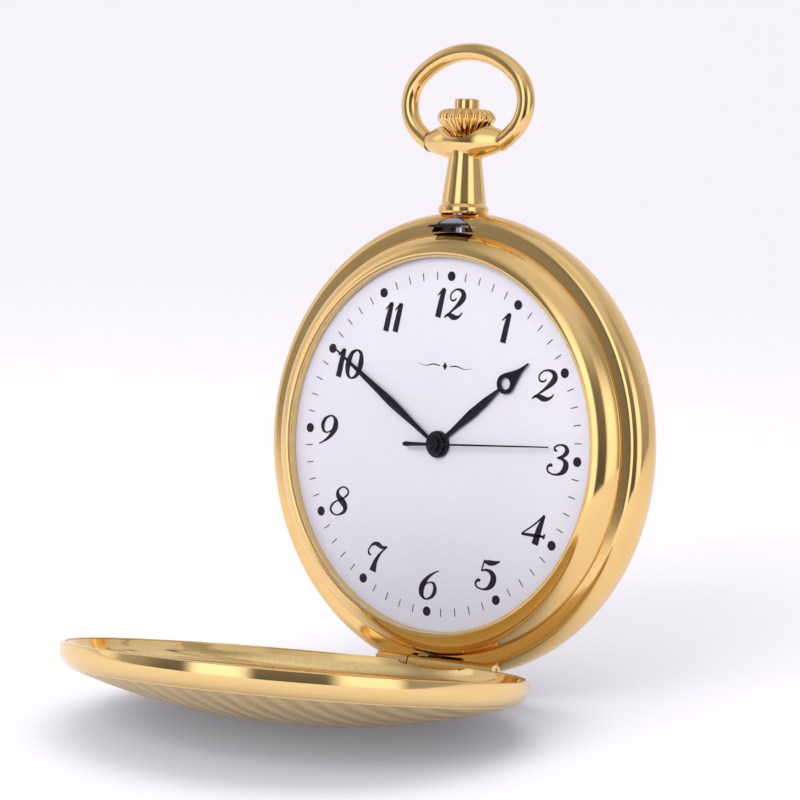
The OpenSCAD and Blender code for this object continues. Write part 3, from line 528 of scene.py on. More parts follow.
# ---------------------------------------------------------------- bezel
prof = fillet([(19.35, -0.02), (19.35, -0.72, 0.04), (19.6, -0.72), (19.6, -1.05, 0.02), (19.68, -1.1, 0.03)]) \
    + quad((19.8, -1.1), (21.2, -0.85), (21.93, 0.93), 28) + [(21.93, 0.97), (21.42, 0.97), (21.42, 1.85), (20.78, 1.85), (20.78, -0.02)]
finish_mesh("bezel_ring", lathe_bm(prof, 288), gold, "case", ("bezel",))

# ---------------------------------------------------------------- back cover
ro = seat_r + (case_r - seat_r) * cos(radians(66))
prof = [(0, back_y), (0, back_y - 0.7), (back_flat, back_y - 0.7)] \
    + [(back_flat + (20.7 - back_flat) * t, back_y - 0.7 - (back_y - 0.7 - 5.1) * t * t) for t in [i / 6 for i in range(1, 7)]] \
    + [(20.7, 4.4), (21.36, 4.4), (21.36, back_seat_y + 0.02), (ro, back_seat_y + 0.02)] \
    + [(back_flat + (ro - back_flat) * cos(radians(90 * i / 24)), back_seat_y + 0.02 + (back_y - back_seat_y - 0.02) * sin(radians(90 * i / 24))) for i in range(1, 25)]
finish_mesh("back_shell", lathe_bm(prof, 288), gold_soft, "case", ("back_cover",))

# ---------------------------------------------------------------- lid
lid_r, depth, wall = 23.0, 6.2, 0.6
r0 = lid_r
prof = fillet([(r0 - wall, 0, 0.1), (r0, 0, 0.12), (r0, -0.9)], 5)
prof += [(r0 - 0.9 * t * t, -0.9 - 1.5 * t) for t in [i / 14 for i in range(1, 15)]]
prof += [(r0 - 0.97, -2.42), (r0 - 1.06, -2.46), (r0 - 1.12, -2.56)]
n_out = len(prof)
prof += [((r0 - 1.12) * (1 - (i / 40) ** 1.0), -2.56 - (depth - 2.56) * (1 - (1 - i / 40) ** 2.1)) for i in range(1, 41)]
n_dome = len(prof)
prof += [((r0 - 1.9) * i / 40, -2.1 - (depth - wall - 2.1) * (1 - (i / 40) ** 2.1)) for i in range(41)]
prof += [(r0 - wall - 0.75, -1.75), (r0 - wall - 0.45, -1.35), (r0 - wall - 0.2, -1.0), (r0 - wall - 0.06, -0.6)]
lid = lathe_bm(prof, 288)
lid.transform(Matrix.Translation((0, seat_y - 0.03, 0)))
kn = boolean(cyl_bm(0.75, -3.36, 3.36, (0, YH, ZH), "X", 48, 0.06), "UNION", box_bm((-3.36, YH - 0.75, ZH), (3.36, YH, ZH + 0.45)))
lid = boolean(lid, "UNION", kn)
lid = boolean(
    lid, "DIFFERENCE",
    cyl_bm(0.38, -4.5, 4.5, (0, YH, ZH), "X", 32),
    cyl_bm(0.83, 3.36, 7.7, (0, YH, ZH), "X", 48),
    cyl_bm(0.83, -7.7, -3.36, (0, YH, ZH), "X", 48),
    boolean(box_bm((-2.7, -0.4, 21.5), (2.7, 2, 24)), "INTERSECT", cyl_bm(22.8, -1, 3, (0, 0, 0), "Y", 288)),
)
lido = finish_mesh("hunter_lid", lid, lid_out_m, "lid", ("front_lid",), place=LID)
lido.data.materials.append(lid_in_m)
# faces on the hollow side take the inside finish
inv = (LID_INV @ SET.inverted())
for p in lido.data.polygons:
    c = inv @ p.center
    n = (inv.to_3x3() @ p.normal)
    rr = hypot(c.x, c.z)
    inward = n.y > 0.05 or (n.x * c.x + n.z * c.z) < -0.02
    p.material_index = 1 if inward and rr < 22.41 and c.y > -6 else 0
bevel(lido, 0.02)

# ---------------------------------------------------------------- pendant
prof = fillet([(0, 23.92), (2.5, 23.92, 0.06), (2.62, 24.15, 0.05), (2.62, 24.55, 0.1), (2.44, 24.78, 0.06), (2.30, 24.9, 0.06), (2.32, 25.1, 0.06), (1.74, 29.6), (1.74, 31.0), (0, 31.0)], 4)
cone = lathe_bm(prof, 96, "Z")
spindle = lathe_bm([(0, -4.75)] + fillet([(0.95, -4.75, 0.07)] + [(2.05 - 1.1 * (abs(u) / 4.75) ** 2, u) for u in [i / 20 * 9.5 - 4.75 for i in range(1, 20)]] + [(0.95, 4.75, 0.07), (0, 4.75), (0, -4.75)], 3)[:-1], 96, "Z")
spindle.transform(Matrix.Translation((0, 0, ZB)) @ Matrix.Rotation(pi / 2, 4, "Y"))
bmesh.ops.recalc_face_normals(spindle, faces=spindle.faces)
pend = boolean(cone, "UNION", spindle)
ball = bmesh.new()
bmesh.ops.create_uvsphere(ball, u_segments=96, v_segments=64, radius=3.42)
ball.transform(Matrix.Translation((0, 0, 34.3)))
pend = boolean(pend, "DIFFERENCE", ball)
pend = boolean(pend, "DIFFERENCE", cyl_bm(1.25, 23, 32.5, (0, 0, 0), "Z", 64))
pend.transform(Matrix.Translation((0, YP, 0)))
pendo = finish_mesh("pendant_neck", pend, gold, "case", ("pendant",))
bevel(pendo, 0.05, 3)

# ---------------------------------------------------------------- bow
zc, hw, b1, b2, stock = ZB + 3.9, 7.5, 3.9, 9.2, 0.92
f = hw - b1
dz = sqrt((b2 - b1) ** 2 - f * f)
ta = degrees(atan2(dz, f))
path = []
path += arc(0, zc + dz, b2, b2, -90 + 27, -ta, 16)
path += arc(f, zc, b1, b1, -ta, ta, 40)[1:]
path += arc(0, zc - dz, b2, b2, ta, 180 - ta, 48)[1:]
path += arc(-f, zc, b1, b1, 180 - ta, 180 + ta, 40)[1:]
path += arc(0, zc + dz, b2, b2, 180 + ta, 270 - 27, 16)[1:]
bow = tube_bm([(x, 0, z) for x, z in path], stock, 48)
for s in (1, -1):
    bmesh.ops.bisect_plane(bow, geom=list(bow.verts) + list(bow.edges) + list(bow.faces), plane_co=(s * 4.82, 0, 0), plane_no=(s, 0, 0), clear_inner=False, clear_outer=False)
kill = [v for v in bow.verts if abs(v.co.x) < 4.8199 and v.co.z < ZB + 2.6]
bmesh.ops.delete(bow, geom=kill, context="VERTS")
bmesh.ops.holes_fill(bow, edges=[e for e in bow.edges if e.is_boundary], sides=0)
pins = [cyl_bm(0.4, 3.65, 5.4, (0, 0, ZB), "X", 32), cyl_bm(0.4, -5.4, -3.65, (0, 0, ZB), "X", 32)]
bow = boolean(bow, "UNION", *pins)
bow.transform(Matrix.Translation((0, YP, 0)))
bowo = finish_mesh("bow_ring", bow, gold, "bow", ("bow",))
bevel(bowo, 0.05, 3)

# ---------------------------------------------------------------- crown, with rounded ribs, and its button
def crown_mesh():
    bm = bmesh.new()
    prof = [(1.30, 31.76)]
    for i in range(15):
        t = i / 14
        prof.append((1.45 + (3.03 - 1.45) * sin(pi / 2 * t) * (0.45 + 0.55 * t), 31.8 + 1.9 * t))
    for i in range(1, 13):
        t = pi / 2 * i / 12
        prof.append((3.03 - 0.90 + 0.90 * cos(t), 33.7 + 1.03 * sin(t)))
    n = 20 * 14
    rings = []
    for r, z in prof:
        top = max(0.0, (z - 34.35) / 0.38)
        foot = max(0.0, min(1.0, (z - 31.8) / 0.35))
        depth = 0.34 * (r / 3.03) * foot * max(0.0, 1 - top ** 2)
        ring = []
        for i in range(n):
            t = 2 * pi * i / n
            ph = (t * 20 / (2 * pi)) % 1.0
            lobe = abs(cos(pi * ph)) ** 0.75
            rr = r - depth * (1 - lobe)
            ring.append(bm.verts.new((rr * cos(t), rr * sin(t), z)))
        rings.append(ring)
    for a, b in zip(rings, rings[1:]):
        for i in range(n):
            k = (i + 1) % n
            bm.faces.new((a[i], a[k], b[k], b[i]))
    # top in to the button's well, and the bored foot
    def ring_at(r, z):
        return [bm.verts.new((r * cos(2 * pi * i / n), r * sin(2 * pi * i / n), z)) for i in range(n)]
    def bridge(a, b):
        for i in range(n):
            k = (i + 1) % n
            bm.faces.new((a[i], a[k], b[k], b[i]))
    chain = [rings[-1], ring_at(1.40, 34.75), ring_at(1.34, 34.70), ring_at(1.33, 33.3), ring_at(0.87, 33.3), ring_at(0.87, 31.78), rings[0]]
    for a, b in zip(chain, chain[1:]):
        bridge(a, b)
    bm.transform(Matrix.Translation((0, YP, 0)))
    return bm


crowno = finish_mesh("crown_knob", crown_mesh(), gold, "crown", ("crown",), angle=50)
prof = fillet([(0, 34.45), (1.28, 34.45), (1.28, 35.8, 0.14), (0, 35.8)], 5)
btn = lathe_bm(prof, 96, "Z")
stemb = cyl_bm(0.41, 25.4, 34.5, (0, 0, 0), "Z", 32)
btn = boolean(btn, "UNION", stemb)
btn.transform(Matrix.Translation((0, YP, 0)))
finish_mesh("crown_button", btn, gold, "pusher", ("pusher_button",))

# ---------------------------------------------------------------- catch, polished
cat = boolean(box_bm((-2.4, 2.2, 20.34), (2.4, 3.6, 23.45)), "UNION", box_bm((-2.62, 1.05, 22.42), (2.62, 2.3, 23.45)))
hook = boolean(box_bm((-2.4, -0.3, 22.42), (2.4, 1.15, 24)), "INTERSECT", cyl_bm(22.72, -1, 3, (0, 0, 0), "Y", 288))
cat = boolean(cat, "UNION", hook)
# the outside is domed along its length and rolls down to the front
dome = lathe_bm(fillet([(0, -0.5), (3.02, -0.5, 0.35), (3.02, 4.2), (0, 4.2)], 8), 192)
dome.transform(Matrix.Translation((0, 0, 20.43)))
cat = boolean(cat, "INTERSECT", cyl_bm(23.45, -1, 4, (0, 0, 0), "Y", 288))
cat = boolean(cat, "INTERSECT", join_bm(dome))
cat = boolean(cat, "DIFFERENCE", cyl_bm(1.12, 19, 24, (0, YP, 0), "Z", 48))
cato = finish_mesh("lid_catch_hook", cat, steel_dark, "catch", ("lid_catch",))
cato.data.materials.append(steel_painted_dark_and_highlight)
# the faces that look to the front take the painted dark reflection and painted highlight colour
for p in cato.data.polygons:
    p.material_index = 1 if p.normal.y < -0.75 else 0
bevel(cato, 0.05, 3)

# ---------------------------------------------------------------- crystal
prof = [(19.57, -0.87), (19.57, -1.06)] + [(19.57 * (1 - i / 24), -1.06 - 1.44 * (1 - (1 - i / 24) ** 2)) for i in range(1, 25)] \
    + [(18.5 * i / 24, -1.0 - 0.9 * (1 - (i / 24) ** 2)) for i in range(25)] + [(19.1, -0.87)]
cr = finish_mesh("watch_glass", lathe_bm(prof, 192), glass, "case", ("crystal",))

# ---------------------------------------------------------------- dial and its print
prof = fillet([(1.0, 0.4), (1.0, 0, 0.03), (20.4, 0, 0.03), (20.4, 0.4)], 3)
dial = lathe_bm(prof, 288)
feet = [cyl_bm(0.35, 0.3, 2.9, (s * 11.2, 0, -2.6), "Y", 24) for s in (1, -1)]
dial = boolean(dial, "UNION", *feet)
finish_mesh("dial_disc", dial, dialm, "case", ("dial",))

PRINT = [bmesh.new()]


def clockxz(a, r):
    return r * sin(radians(a)), r * cos(radians(a))


def add_flat(outline):
    """a printed patch: front face at the ink's height and a thin side"""
    bm = PRINT[0]
    f0 = [bm.verts.new((x, -0.018, z)) for x, z in outline]
    f1 = [bm.verts.new((x, -0.002, z)) for x, z in outline]
    n = len(outline)
    bm.faces.new(f0)
    for i in range(n):
        k = (i + 1) % n
        bm.faces.new((f0[i], f0[k], f1[k], f1[i]))


for i in range(60):
    a = i * 6.0
    if i % 5 == 0:
        x, z = clockxz(a, 17.4)
        add_flat([(x + 0.5 * cos(2 * pi * k / 32), z + 0.5 * sin(2 * pi * k / 32)) for k in range(32)])
    else:
        p = []
        for r, w in ((17.0, -0.05), (17.85, -0.05), (17.85, 0.05), (17.0, 0.05)):
            x, z = clockxz(a, r)
            p.append((x + w * cos(radians(a)), z - w * sin(radians(a))))
        add_flat(p)

G = {
    "0": [[(0.30, 0.99, 0.035), (0.12, 0.86, 0.09), (0.05, 0.50, 0.145), (0.11, 0.14, 0.09), (0.28, 0.01, 0.035), (0.46, 0.14, 0.09), (0.53, 0.50, 0.145), (0.47, 0.86, 0.09), (0.30, 0.99, 0.035)]],
    "1": [[(0.13, 0.0, 0.15), (0.135, 0.5, 0.14), (0.15, 0.97, 0.11)], [(0.175, 0.99, 0.03), (0.06, 0.86, 0.035), (-0.03, 0.73, 0.02)]],
    "2": [[(0.31, 0.70, 0.02), (0.28, 0.63, 0.03), (0.19, 0.60, 0.035), (0.10, 0.67, 0.032), (0.09, 0.82, 0.03), (0.20, 0.955, 0.03), (0.35, 0.985, 0.05), (0.50, 0.91, 0.10), (0.56, 0.75, 0.14), (0.49, 0.57, 0.12), (0.33, 0.36, 0.06), (0.14, 0.15, 0.03), (0.01, 0.01, 0.02)],
          [(0.01, 0.01, 0.02), (0.09, 0.10, 0.05), (0.20, 0.105, 0.10), (0.33, 0.055, 0.125), (0.46, 0.05, 0.085), (0.57, 0.12, 0.04), (0.63, 0.23, 0.02)]],
    "3": [[(0.20, 0.77, 0.03), (0.13, 0.80, 0.05), (0.12, 0.90, 0.035), (0.26, 0.985, 0.03), (0.42, 0.94, 0.07), (0.49, 0.79, 0.11), (0.41, 0.63, 0.07), (0.24, 0.55, 0.02)],
          [(0.24, 0.55, 0.02), (0.42, 0.52, 0.06), (0.54, 0.38, 0.135), (0.53, 0.18, 0.135), (0.40, 0.035, 0.06), (0.22, 0.005, 0.03), (0.06, 0.08, 0.035), (0.02, 0.22, 0.045), (0.10, 0.30, 0.06), (0.15, 0.25, 0.03)]],
    "4": [[(0.43, 0.0, 0.17), (0.46, 0.5, 0.145), (0.53, 0.98, 0.06)], [(0.535, 1.0, 0.03), (0.28, 0.64, 0.03), (-0.03, 0.31, 0.025)], [(-0.03, 0.30, 0.05), (0.30, 0.295, 0.065), (0.66, 0.30, 0.045)], [(0.655, 0.215, 0.025), (0.645, 0.30, 0.05), (0.665, 0.385, 0.025)]],
    "5": [[(0.135, 0.99, 0.02), (0.17, 0.93, 0.07), (0.30, 0.905, 0.115), (0.44, 0.925, 0.09), (0.60, 1.0, 0.02)], [(0.135, 0.98, 0.032), (0.115, 0.80, 0.03), (0.105, 0.60, 0.03)],
          [(0.105, 0.60, 0.025), (0.22, 0.655, 0.045), (0.38, 0.61, 0.09), (0.50, 0.45, 0.15), (0.50, 0.22, 0.15), (0.38, 0.045, 0.07), (0.22, 0.005, 0.03), (0.06, 0.06, 0.035), (0.00, 0.19, 0.045), (0.07, 0.29, 0.065), (0.13, 0.25, 0.03)]],
    "6": [[(0.50, 1.0, 0.015), (0.36, 0.90, 0.035), (0.19, 0.70, 0.085), (0.09, 0.42, 0.145), (0.11, 0.17, 0.12), (0.22, 0.02, 0.045), (0.33, 0.01, 0.035), (0.46, 0.12, 0.07), (0.51, 0.32, 0.10), (0.45, 0.52, 0.07), (0.34, 0.585, 0.03), (0.21, 0.52, 0.025), (0.12, 0.38, 0.02)]],
    "7": [[(0.14, 0.545, 0.02), (0.07, 0.57, 0.04), (0.025, 0.68, 0.035), (0.07, 0.85, 0.035), (0.18, 0.95, 0.075), (0.31, 0.925, 0.105), (0.44, 0.855, 0.07), (0.60, 0.90, 0.02)], [(0.60, 0.905, 0.02), (0.43, 0.66, 0.045), (0.32, 0.36, 0.10), (0.29, 0.0, 0.19)]],
    "8": [[(0.32, 0.53, 0.155), (0.20, 0.66, 0.115), (0.16, 0.82, 0.06), (0.25, 0.955, 0.03), (0.37, 0.975, 0.03), (0.49, 0.88, 0.04), (0.49, 0.73, 0.045), (0.36, 0.58, 0.03), (0.16, 0.45, 0.03), (0.05, 0.29, 0.05), (0.06, 0.12, 0.05), (0.19, 0.01, 0.03), (0.33, 0.01, 0.03), (0.48, 0.12, 0.07), (0.51, 0.28, 0.12), (0.43, 0.42, 0.155), (0.32, 0.53, 0.155)]],
    "9": [[(0.05, 0.0, 0.015), (0.19, 0.10, 0.035), (0.36, 0.30, 0.085), (0.47, 0.58, 0.145), (0.45, 0.83, 0.12), (0.34, 0.98, 0.045), (0.23, 0.99, 0.035), (0.10, 0.88, 0.07), (0.05, 0.68, 0.10), (0.11, 0.48, 0.07), (0.22, 0.415, 0.03), (0.35, 0.48, 0.025), (0.44, 0.62, 0.02)]],
}
ADV = {"0": 0.60, "1": 0.36, "2": 0.64, "3": 0.62, "4": 0.68, "5": 0.62, "6": 0.58, "7": 0.60, "8": 0.58, "9": 0.56}


def spline(pts, k=8):
    out = []
    P = [pts[0]] + list(pts) + [pts[-1]]
    for i in range(1, len(P) - 2):
        for j in range(k):
            t = j / k
            out.append(tuple(0.5 * ((2 * P[i][c]) + (-P[i - 1][c] + P[i + 1][c]) * t + (2 * P[i - 1][c] - 5 * P[i][c] + 4 * P[i + 1][c] - P[i + 2][c]) * t * t + (-P[i - 1][c] + 3 * P[i][c] - 3 * P[i + 1][c] + P[i + 2][c]) * t ** 3) for c in range(len(pts[0]))))
    out.append(tuple(pts[-1]))
    return out


def pen(points, straight=False):
    """a stroke of changing width as a strip of quads"""
    bm = PRINT[0]
    P = spline(points, 9)
    n = len(P)
    left, right = [], []
    for i, (x, z, w) in enumerate(P):
        a, b = P[max(0, i - 1)], P[min(n - 1, i + 1)]
        dx, dzz = b[0] - a[0], b[1] - a[1]
        l = hypot(dx, dzz) or 1
        nx, nz_ = -dzz / l, dx / l
        left.append((x + nx * w / 2, z + nz_ * w / 2))
        right.append((x - nx * w / 2, z - nz_ * w / 2))
    rows = []
    for y in (-0.018, -0.002):
        rows.append(([bm.verts.new((x, y, z)) for x, z in left], [bm.verts.new((x, y, z)) for x, z in right]))
    (l0, q0), (l1, q1) = rows
    for i in range(n - 1):
        bm.faces.new((l0[i], l0[i + 1], q0[i + 1], q0[i]))
        bm.faces.new((l0[i], l0[i + 1], l1[i + 1], l1[i]))
        bm.faces.new((q0[i], q0[i + 1], q1[i + 1], q1[i]))
    bm.faces.new((l0[0], q0[0], q1[0], l1[0]))
    bm.faces.new((l0[-1], q0[-1], q1[-1], l1[-1]))


def numeral(text, cx, cz, h=3.0, slant=0.17, wide=1.3):
    total = sum(ADV[c] for c in text[:-1]) + (0.56 if text[-1] != "1" else 0.22)
    x0 = -total / 2
    for c in text:
        for st in G[c]:
            pen([(cx + h * ((x0 + x) * wide + slant * (z - 0.5)), cz + h * (z - 0.5), (w * 1.45 + 0.016) * h) for x, z, w in st])
        x0 += ADV[c]


for hour in range(1, 13):
    x, z = clockxz(hour * 30, {3: 15.05, 9: 14.83}.get(hour, 14.6))
    numeral(str(hour), x, z, 3.1, wide=1.12 if hour > 9 else 1.32)

# a plain ornament where a maker would sign: two tapering strokes and a lozenge
ox, oz = 0.0, 8.1
add_flat([(ox, oz + 0.42), (ox + 0.30, oz), (ox, oz - 0.42), (ox - 0.30, oz)])
for s in (1, -1):
    pen([(ox + s * 0.65, oz, 0.10), (ox + s * 1.5, oz + 0.10, 0.13), (ox + s * 2.5, oz - 0.12, 0.07), (ox + s * 3.6, oz + 0.06, 0.02)])

def clock_m(a):
    return Matrix.Rotation(radians(a), 4, "Y")


# the dial stands a little clockwise of the pendant in its case
finish_mesh("dial_print", PRINT[0], ink, "case", (), smooth=False, place=clock_m(2.9))

# ---------------------------------------------------------------- hands


def circle_pts(cx, cz, r, n=48):
    return [(cx + r * cos(2 * pi * k / n), cz + r * sin(2 * pi * k / n)) for k in range(n)]


def ridge(outline_fn, z0, z1, y_edge, y_ridge, y_back, n=40, edge=0.0):
    """a hand blade from z0 to z1 with a soft crown along its middle"""
    bm = bmesh.new()
    rows = []
    for i in range(n + 1):
        z = z0 + (z1 - z0) * i / n
        w = outline_fn(z)
        k = min(1.0, w / 0.3)
        rows.append([bm.verts.new(p) for p in ((-w, y_back, z), (-w, y_edge, z), (-w * 0.45, y_edge + (y_ridge - y_edge) * 0.85 * k, z), (0, y_edge + (y_ridge - y_edge) * k, z), (w * 0.45, y_edge + (y_ridge - y_edge) * 0.85 * k, z), (w, y_edge, z), (w, y_back, z))])
    for a, b in zip(rows, rows[1:]):
        for j in range(7):
            k = (j + 1) % 7
            bm.faces.new((a[j], a[k], b[k], b[j]))
    bm.faces.new(rows[0])
    bm.faces.new(rows[-1])
    return bm


def lerp_w(table):
    def fn(z):
        for (z0, w0), (z1, w1) in zip(table, table[1:]):
            if z <= z1:
                t = (z - z0) / (z1 - z0)
                t = t * t * (3 - 2 * t) * 0.4 + t * 0.6
                return w0 + (w1 - w0) * t
        return table[-1][1]
    return fn


hour_len, minute_len, seconds_len = 14.2, 17.2, 14.5
boss = lathe_bm(fillet([(0.87, -0.12), (1.4, -0.12), (1.4, -0.52, 0.1), (0.87, -0.52, 0.04)], 4), 96)
blade = ridge(lerp_w([(1.1, 0.22), (2.2, 0.25), (5.4, 0.47), (7.4, 0.40), (9.85, 0.13)]), 1.1, 9.85, -0.40, -0.455, -0.28)
# ring and the drop-shaped point
tip = []
for i in range(25):
    a = radians(90 + 38 - (38 * 2) * 0)
ring_out = circle_pts(0, 10.7, 1.05, 64)
outl = []
for k in range(64):
    t = 2 * pi * k / 64 - pi / 2
    x, z = 1.05 * cos(t), 10.7 + 1.05 * sin(t)
    outl.append((x, z))
drop = [p for p in outl if p[1] < 11.05]
drop_r = [p for p in drop if p[0] >= 0]
drop_l = [p for p in drop if p[0] < 0]
drop_r.sort(key=lambda p: p[1])
drop_l.sort(key=lambda p: -p[1])
side = [(0.93, 11.25), (0.78, 11.6), (0.55, 12.1), (0.36, 12.6), (0.22, 13.1), (0.12, 13.7), (0.07, hour_len)]
outline = drop_r + side + [(-x, z) for x, z in reversed(side)] + drop_l
ringp = plate_bm(outline, -0.43, -0.28, [circle_pts(0, 10.72, 0.60, 40)])
hh = join_bm(boss, blade, ringp)
hour = finish_mesh("hour_hand_leaf", hh, black, "hour", ("hour_hand",), place=clock_m(52.1))
boss = lathe_bm(fillet([(0.52, -0.56), (1.12, -0.56), (1.12, -0.92, 0.1), (0.52, -0.92, 0.04)], 4), 96)
blade = ridge(lerp_w([(0.9, 0.2), (2.4, 0.24), (7.2, 0.46), (11.0, 0.30), (15.0, 0.12), (minute_len, 0.05)]), 0.9, minute_len, -0.76, -0.82, -0.64, 60)
finish_mesh("minute_hand_leaf", join_bm(boss, blade), black, "minute", ("minute_hand",), place=clock_m(304.5))
cap = lathe_bm(fillet([(0.0, -0.98), (0.72, -0.98), (0.72, -1.32, 0.1), (0.40, -1.34, 0.05), (0.34, -1.56, 0.1), (0.0, -1.56)], 4), 96)
blade = ridge(lerp_w([(-0.2, 0.11), (seconds_len, 0.07)]), -0.2, seconds_len, -1.1, -1.13, -1.0, 12)
tail = ridge(lerp_w([(-3.95, 0.13), (-3.6, 0.26), (-2.6, 0.2), (-0.3, 0.15)]), -3.95, -0.3, -1.1, -1.15, -1.0, 24)
finish_mesh("seconds_hand_needle", join_bm(cap, blade, tail), black, "seconds", ("seconds_hand",), place=clock_m(88.2))

# ---------------------------------------------------------------- finishes of the carried-over nodes
FIN = {
    "steel_parts": steel, "movement_plate": plate_metal, "train_brass": train, "rotor_magnet": magnet, "coil_copper": coil,
    "soft_iron": iron, "battery_steel": cell, "circuit_laminate": board, "holder_plastic": holder, "white_nylon": nylon,
    "black_rubber": rubber, "gold_polished": gold, "gold_lid": gold_soft, "dial_white": dialm, "crystal_glass": glass, "hand_black": black,
}
slot_of = {s["node"]: s["material_slot"] for s in frame["record"]["subparts"]}
for n, o in NODES.items():
    m = FIN[slot_of[n]]
    if len(o.material_slots) == 0:
        o.data.materials.append(m)
    for s in o.material_slots:
        s.material = m

# ---------------------------------------------------------------- stage
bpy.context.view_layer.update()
view_dir = Vector((-0.6150, 0.7884, 0.0))
side_dir = Vector((0.7884, 0.6150, 0.0))
# the paper rises a little away from the eye and just clears the lid and the case
RISE = math.tan(radians(6.0))
floor_z = min((o.matrix_world @ v.co).z - RISE * (o.matrix_world @ v.co).dot(view_dir) for o in (lido, case) for v in o.data.vertices) - 0.00005


def stage_mat(name, col, emit):
    m, nt, b = mat_new(name)
    b.inputs["Base Color"].default_value = (*col, 1)
    b.inputs["Roughness"].default_value = 0.9
    b.inputs["Specular IOR Level"].default_value = 0.0
    b.inputs["Emission Color"].default_value = (*col, 1)
    # the paper glows for the eye and less in the reflections
    lp = nd(nt, "ShaderNodeLightPath")
    far = nd(nt, "ShaderNodeVectorMath", operation="LENGTH")
    nt.links.new(coords(nt), far.inputs[0])
    glow = mth(nt, "MULTIPLY", maprange(nt, far.outputs["Value"], 0.10, 0.40, emit * 0.9, emit), maprange(nt, lp.outputs["Is Camera Ray"], 0.0, 1.0, 0.7, 1.0))
    nt.links.new(glow, b.inputs["Emission Strength"])
    return m


bm = bmesh.new()
# paper that sweeps up far behind, along the view
prof = [(-0.17, 0.0), (0.25, 0.0), (0.45, 0.0)] + [(0.45 + 0.5 * sin(radians(a)), 0.5 * (1 - cos(radians(a)))) for a in range(6, 91, 6)] + [(0.95, 2.0)]
rows = []
for d, z in prof:
    rows.append([bm.verts.new(view_dir * d + side_dir * s + Vector((0, 0, floor_z + z + RISE * d))) for s in (-2.5, 2.5)])
for a, b_ in zip(rows, rows[1:]):
    bm.faces.new((a[0], a[1], b_[1], b_[0]))
me = bpy.data.meshes.new("studio_sweep")
bm.to_mesh(me)
bm.free()
sweep = bpy.data.objects.new("studio_sweep", me)
bpy.context.scene.collection.objects.link(sweep)
me.materials.append(stage_mat("studio_paper", (0.86, 0.84, 0.875), 0.215))
for p in me.polygons:
    p.use_smooth = True

# direction, cosine where it begins and where it is full, strength
WINDOWS = [((0.15, -0.45, 0.90), 0.70, 0.97, 0.8), ((0.1, 0.6, 0.8), 0.6, 0.95, 0.6), ((-0.92, -0.35, 0.15), 0.70, 0.95, 0.5)]
# azimuth from the front, cosine where it begins and where it is full, strength
STRIPS = [(3.0, 0.945, 0.992, 2.6), (76.0, 0.93, 0.99, 2.4), (-72.0, 0.93, 0.99, 1.2), (120.0, 0.80, 0.97, 0.5)]
world = bpy.data.worlds.new("studio")
bpy.context.scene.world = world
world.use_nodes = True
nt = world.node_tree
nt.nodes.clear()
out = nd(nt, "ShaderNodeOutputWorld")
bg = nd(nt, "ShaderNodeBackground")
tc = nd(nt, "ShaderNodeTexCoord")


def wdot(v):
    d = nd(nt, "ShaderNodeVectorMath", operation="DOT_PRODUCT")
    nt.links.new(tc.outputs["Generated"], d.inputs[0])
    d.inputs[1].default_value = Vector(v).normalized()
    return d.outputs["Value"]


def blob(v, a, b, k):
    """a soft-edged patch of light about a direction, from cosine a (none) to b (full)"""
    m = nd(nt, "ShaderNodeMapRange", interpolation_type="SMOOTHSTEP")
    for i_, x_ in zip((1, 2, 3, 4), (a, b, 0.0, k)):
        m.inputs[i_].default_value = x_
    nt.links.new(wdot(v), m.inputs[0])
    return m.outputs[0]


def strip(az, a, b, k):
    """a tall soft-edged window standing at an azimuth from the front"""
    flat = nd(nt, "ShaderNodeVectorMath", operation="MULTIPLY")
    nt.links.new(tc.outputs["Generated"], flat.inputs[0])
    flat.inputs[1].default_value = (1, 1, 0)
    nrm = nd(nt, "ShaderNodeVectorMath", operation="NORMALIZE")
    nt.links.new(flat.outputs[0], nrm.inputs[0])
    d = nd(nt, "ShaderNodeVectorMath", operation="DOT_PRODUCT")
    nt.links.new(nrm.outputs[0], d.inputs[0])
    d.inputs[1].default_value = (sin(radians(az)), -cos(radians(az)), 0)
    m = nd(nt, "ShaderNodeMapRange", interpolation_type="SMOOTHSTEP")
    for i_, x_ in zip((1, 2, 3, 4), (a, b, 0.0, k)):
        m.inputs[i_].default_value = x_
    nt.links.new(d.outputs["Value"], m.inputs[0])
    h = nd(nt, "ShaderNodeMapRange", interpolation_type="SMOOTHSTEP")
    for i_, x_ in zip((1, 2, 3, 4), (0.25, 0.80, 1.0, 0.0)):
        h.inputs[i_].default_value = x_
    nt.links.new(mth(nt, "ABSOLUTE", wdot((0, 0, 1))), h.inputs[0])
    return mth(nt, "MULTIPLY", m.outputs[0], h.outputs[0])


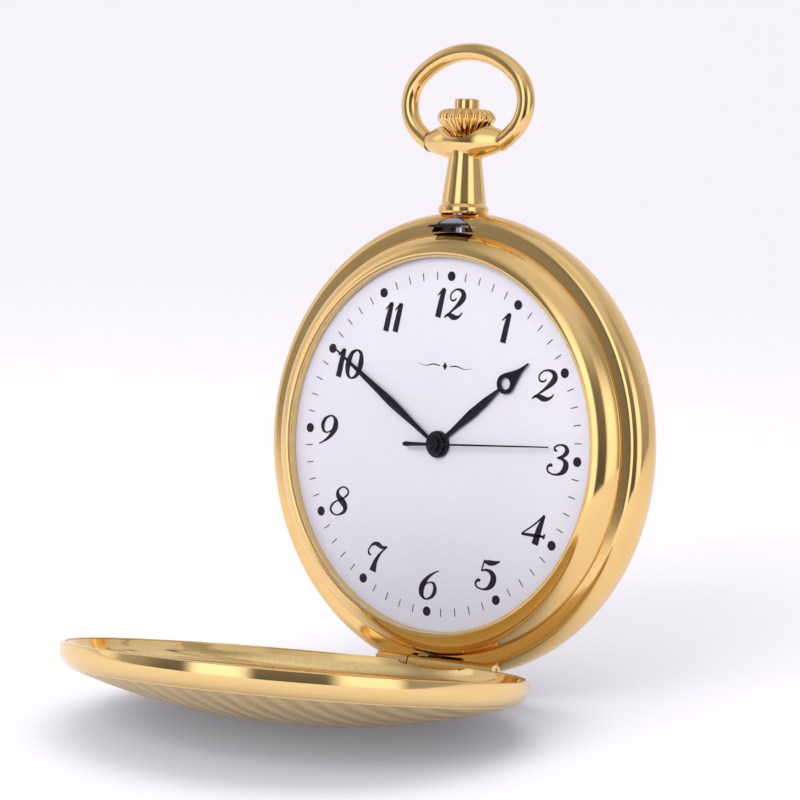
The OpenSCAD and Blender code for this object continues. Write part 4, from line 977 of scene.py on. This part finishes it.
# a grey tent: brighter overhead, soft windows left and right, darker behind the camera and low down
light = blob((0, 0, 1), -0.6, 1.0, 0.55)
for v_, a_, b_, k_ in WINDOWS:
    light = mth(nt, "ADD", light, blob(v_, a_, b_, k_))
for az_, a_, b_, k_ in STRIPS:
    light = mth(nt, "ADD", light, strip(az_, a_, b_, k_))
light = mth(nt, "MULTIPLY", mth(nt, "ADD", light, 0.13), 0.55)
bg.inputs[0].default_value = (0.955, 0.94, 0.975, 1)
nt.links.new(light, bg.inputs[1])
nt.links.new(bg.outputs[0], out.inputs[0])


def area(name, loc, target, sx, sy, power, col=(1, 1, 1)):
    l = bpy.data.lights.new(name, "AREA")
    l.shape, l.size, l.size_y, l.energy, l.color = "RECTANGLE", sx, sy, power, col
    o = bpy.data.objects.new(name, l)
    bpy.context.scene.collection.objects.link(o)
    o.location = loc
    o.rotation_mode = "QUATERNION"
    o.rotation_quaternion = (Vector(target) - Vector(loc)).to_track_quat("-Z", "Y")
    return o


# two lamps that light the paper and the dial and leave no hard patch in the polished metal
for o_ in (area("overhead", (0.03, -0.05, 0.55), (0, 0, 0), 0.42, 0.42, 0.7), area("front_fill", (0.10, -0.62, 0.22), (0, 0, 0), 0.4, 0.4, 2.4)):
    o_.visible_glossy = False

# ---------------------------------------------------------------- camera
az, el, roll = radians(37.956), radians(3.296), radians(4.221)
bk = Vector((sin(az) * cos(el), -cos(az) * cos(el), sin(el)))
r0v = Vector((cos(az), sin(az), 0))
u0v = bk.cross(r0v)
rv = r0v * cos(roll) + u0v * sin(roll)
uv = -r0v * sin(roll) + u0v * cos(roll)
C = rv * -4.0497 + uv * 4.5724 + bk * 309.07
turn = Matrix.Rotation(radians(2.9), 3, "Y")
rv, uv, bk, C = turn @ rv, turn @ uv, turn @ bk, turn @ C
cam = bpy.data.cameras.new("camera")
cam.lens, cam.sensor_width, cam.sensor_fit = 134.566, 36.0, "HORIZONTAL"
cam.clip_start, cam.clip_end = 0.01, 20
camo = bpy.data.objects.new("camera", cam)
bpy.context.scene.collection.objects.link(camo)
camo.matrix_world = Matrix.Translation((SET @ C)) @ Matrix((rv, uv, bk)).transposed().to_4x4()
bpy.context.scene.camera = camo
bpy.context.scene.view_settings.view_transform = "Standard"
bpy.context.scene.cycles.use_denoising = True
bpy.context.scene.cycles.caustics_reflective = False
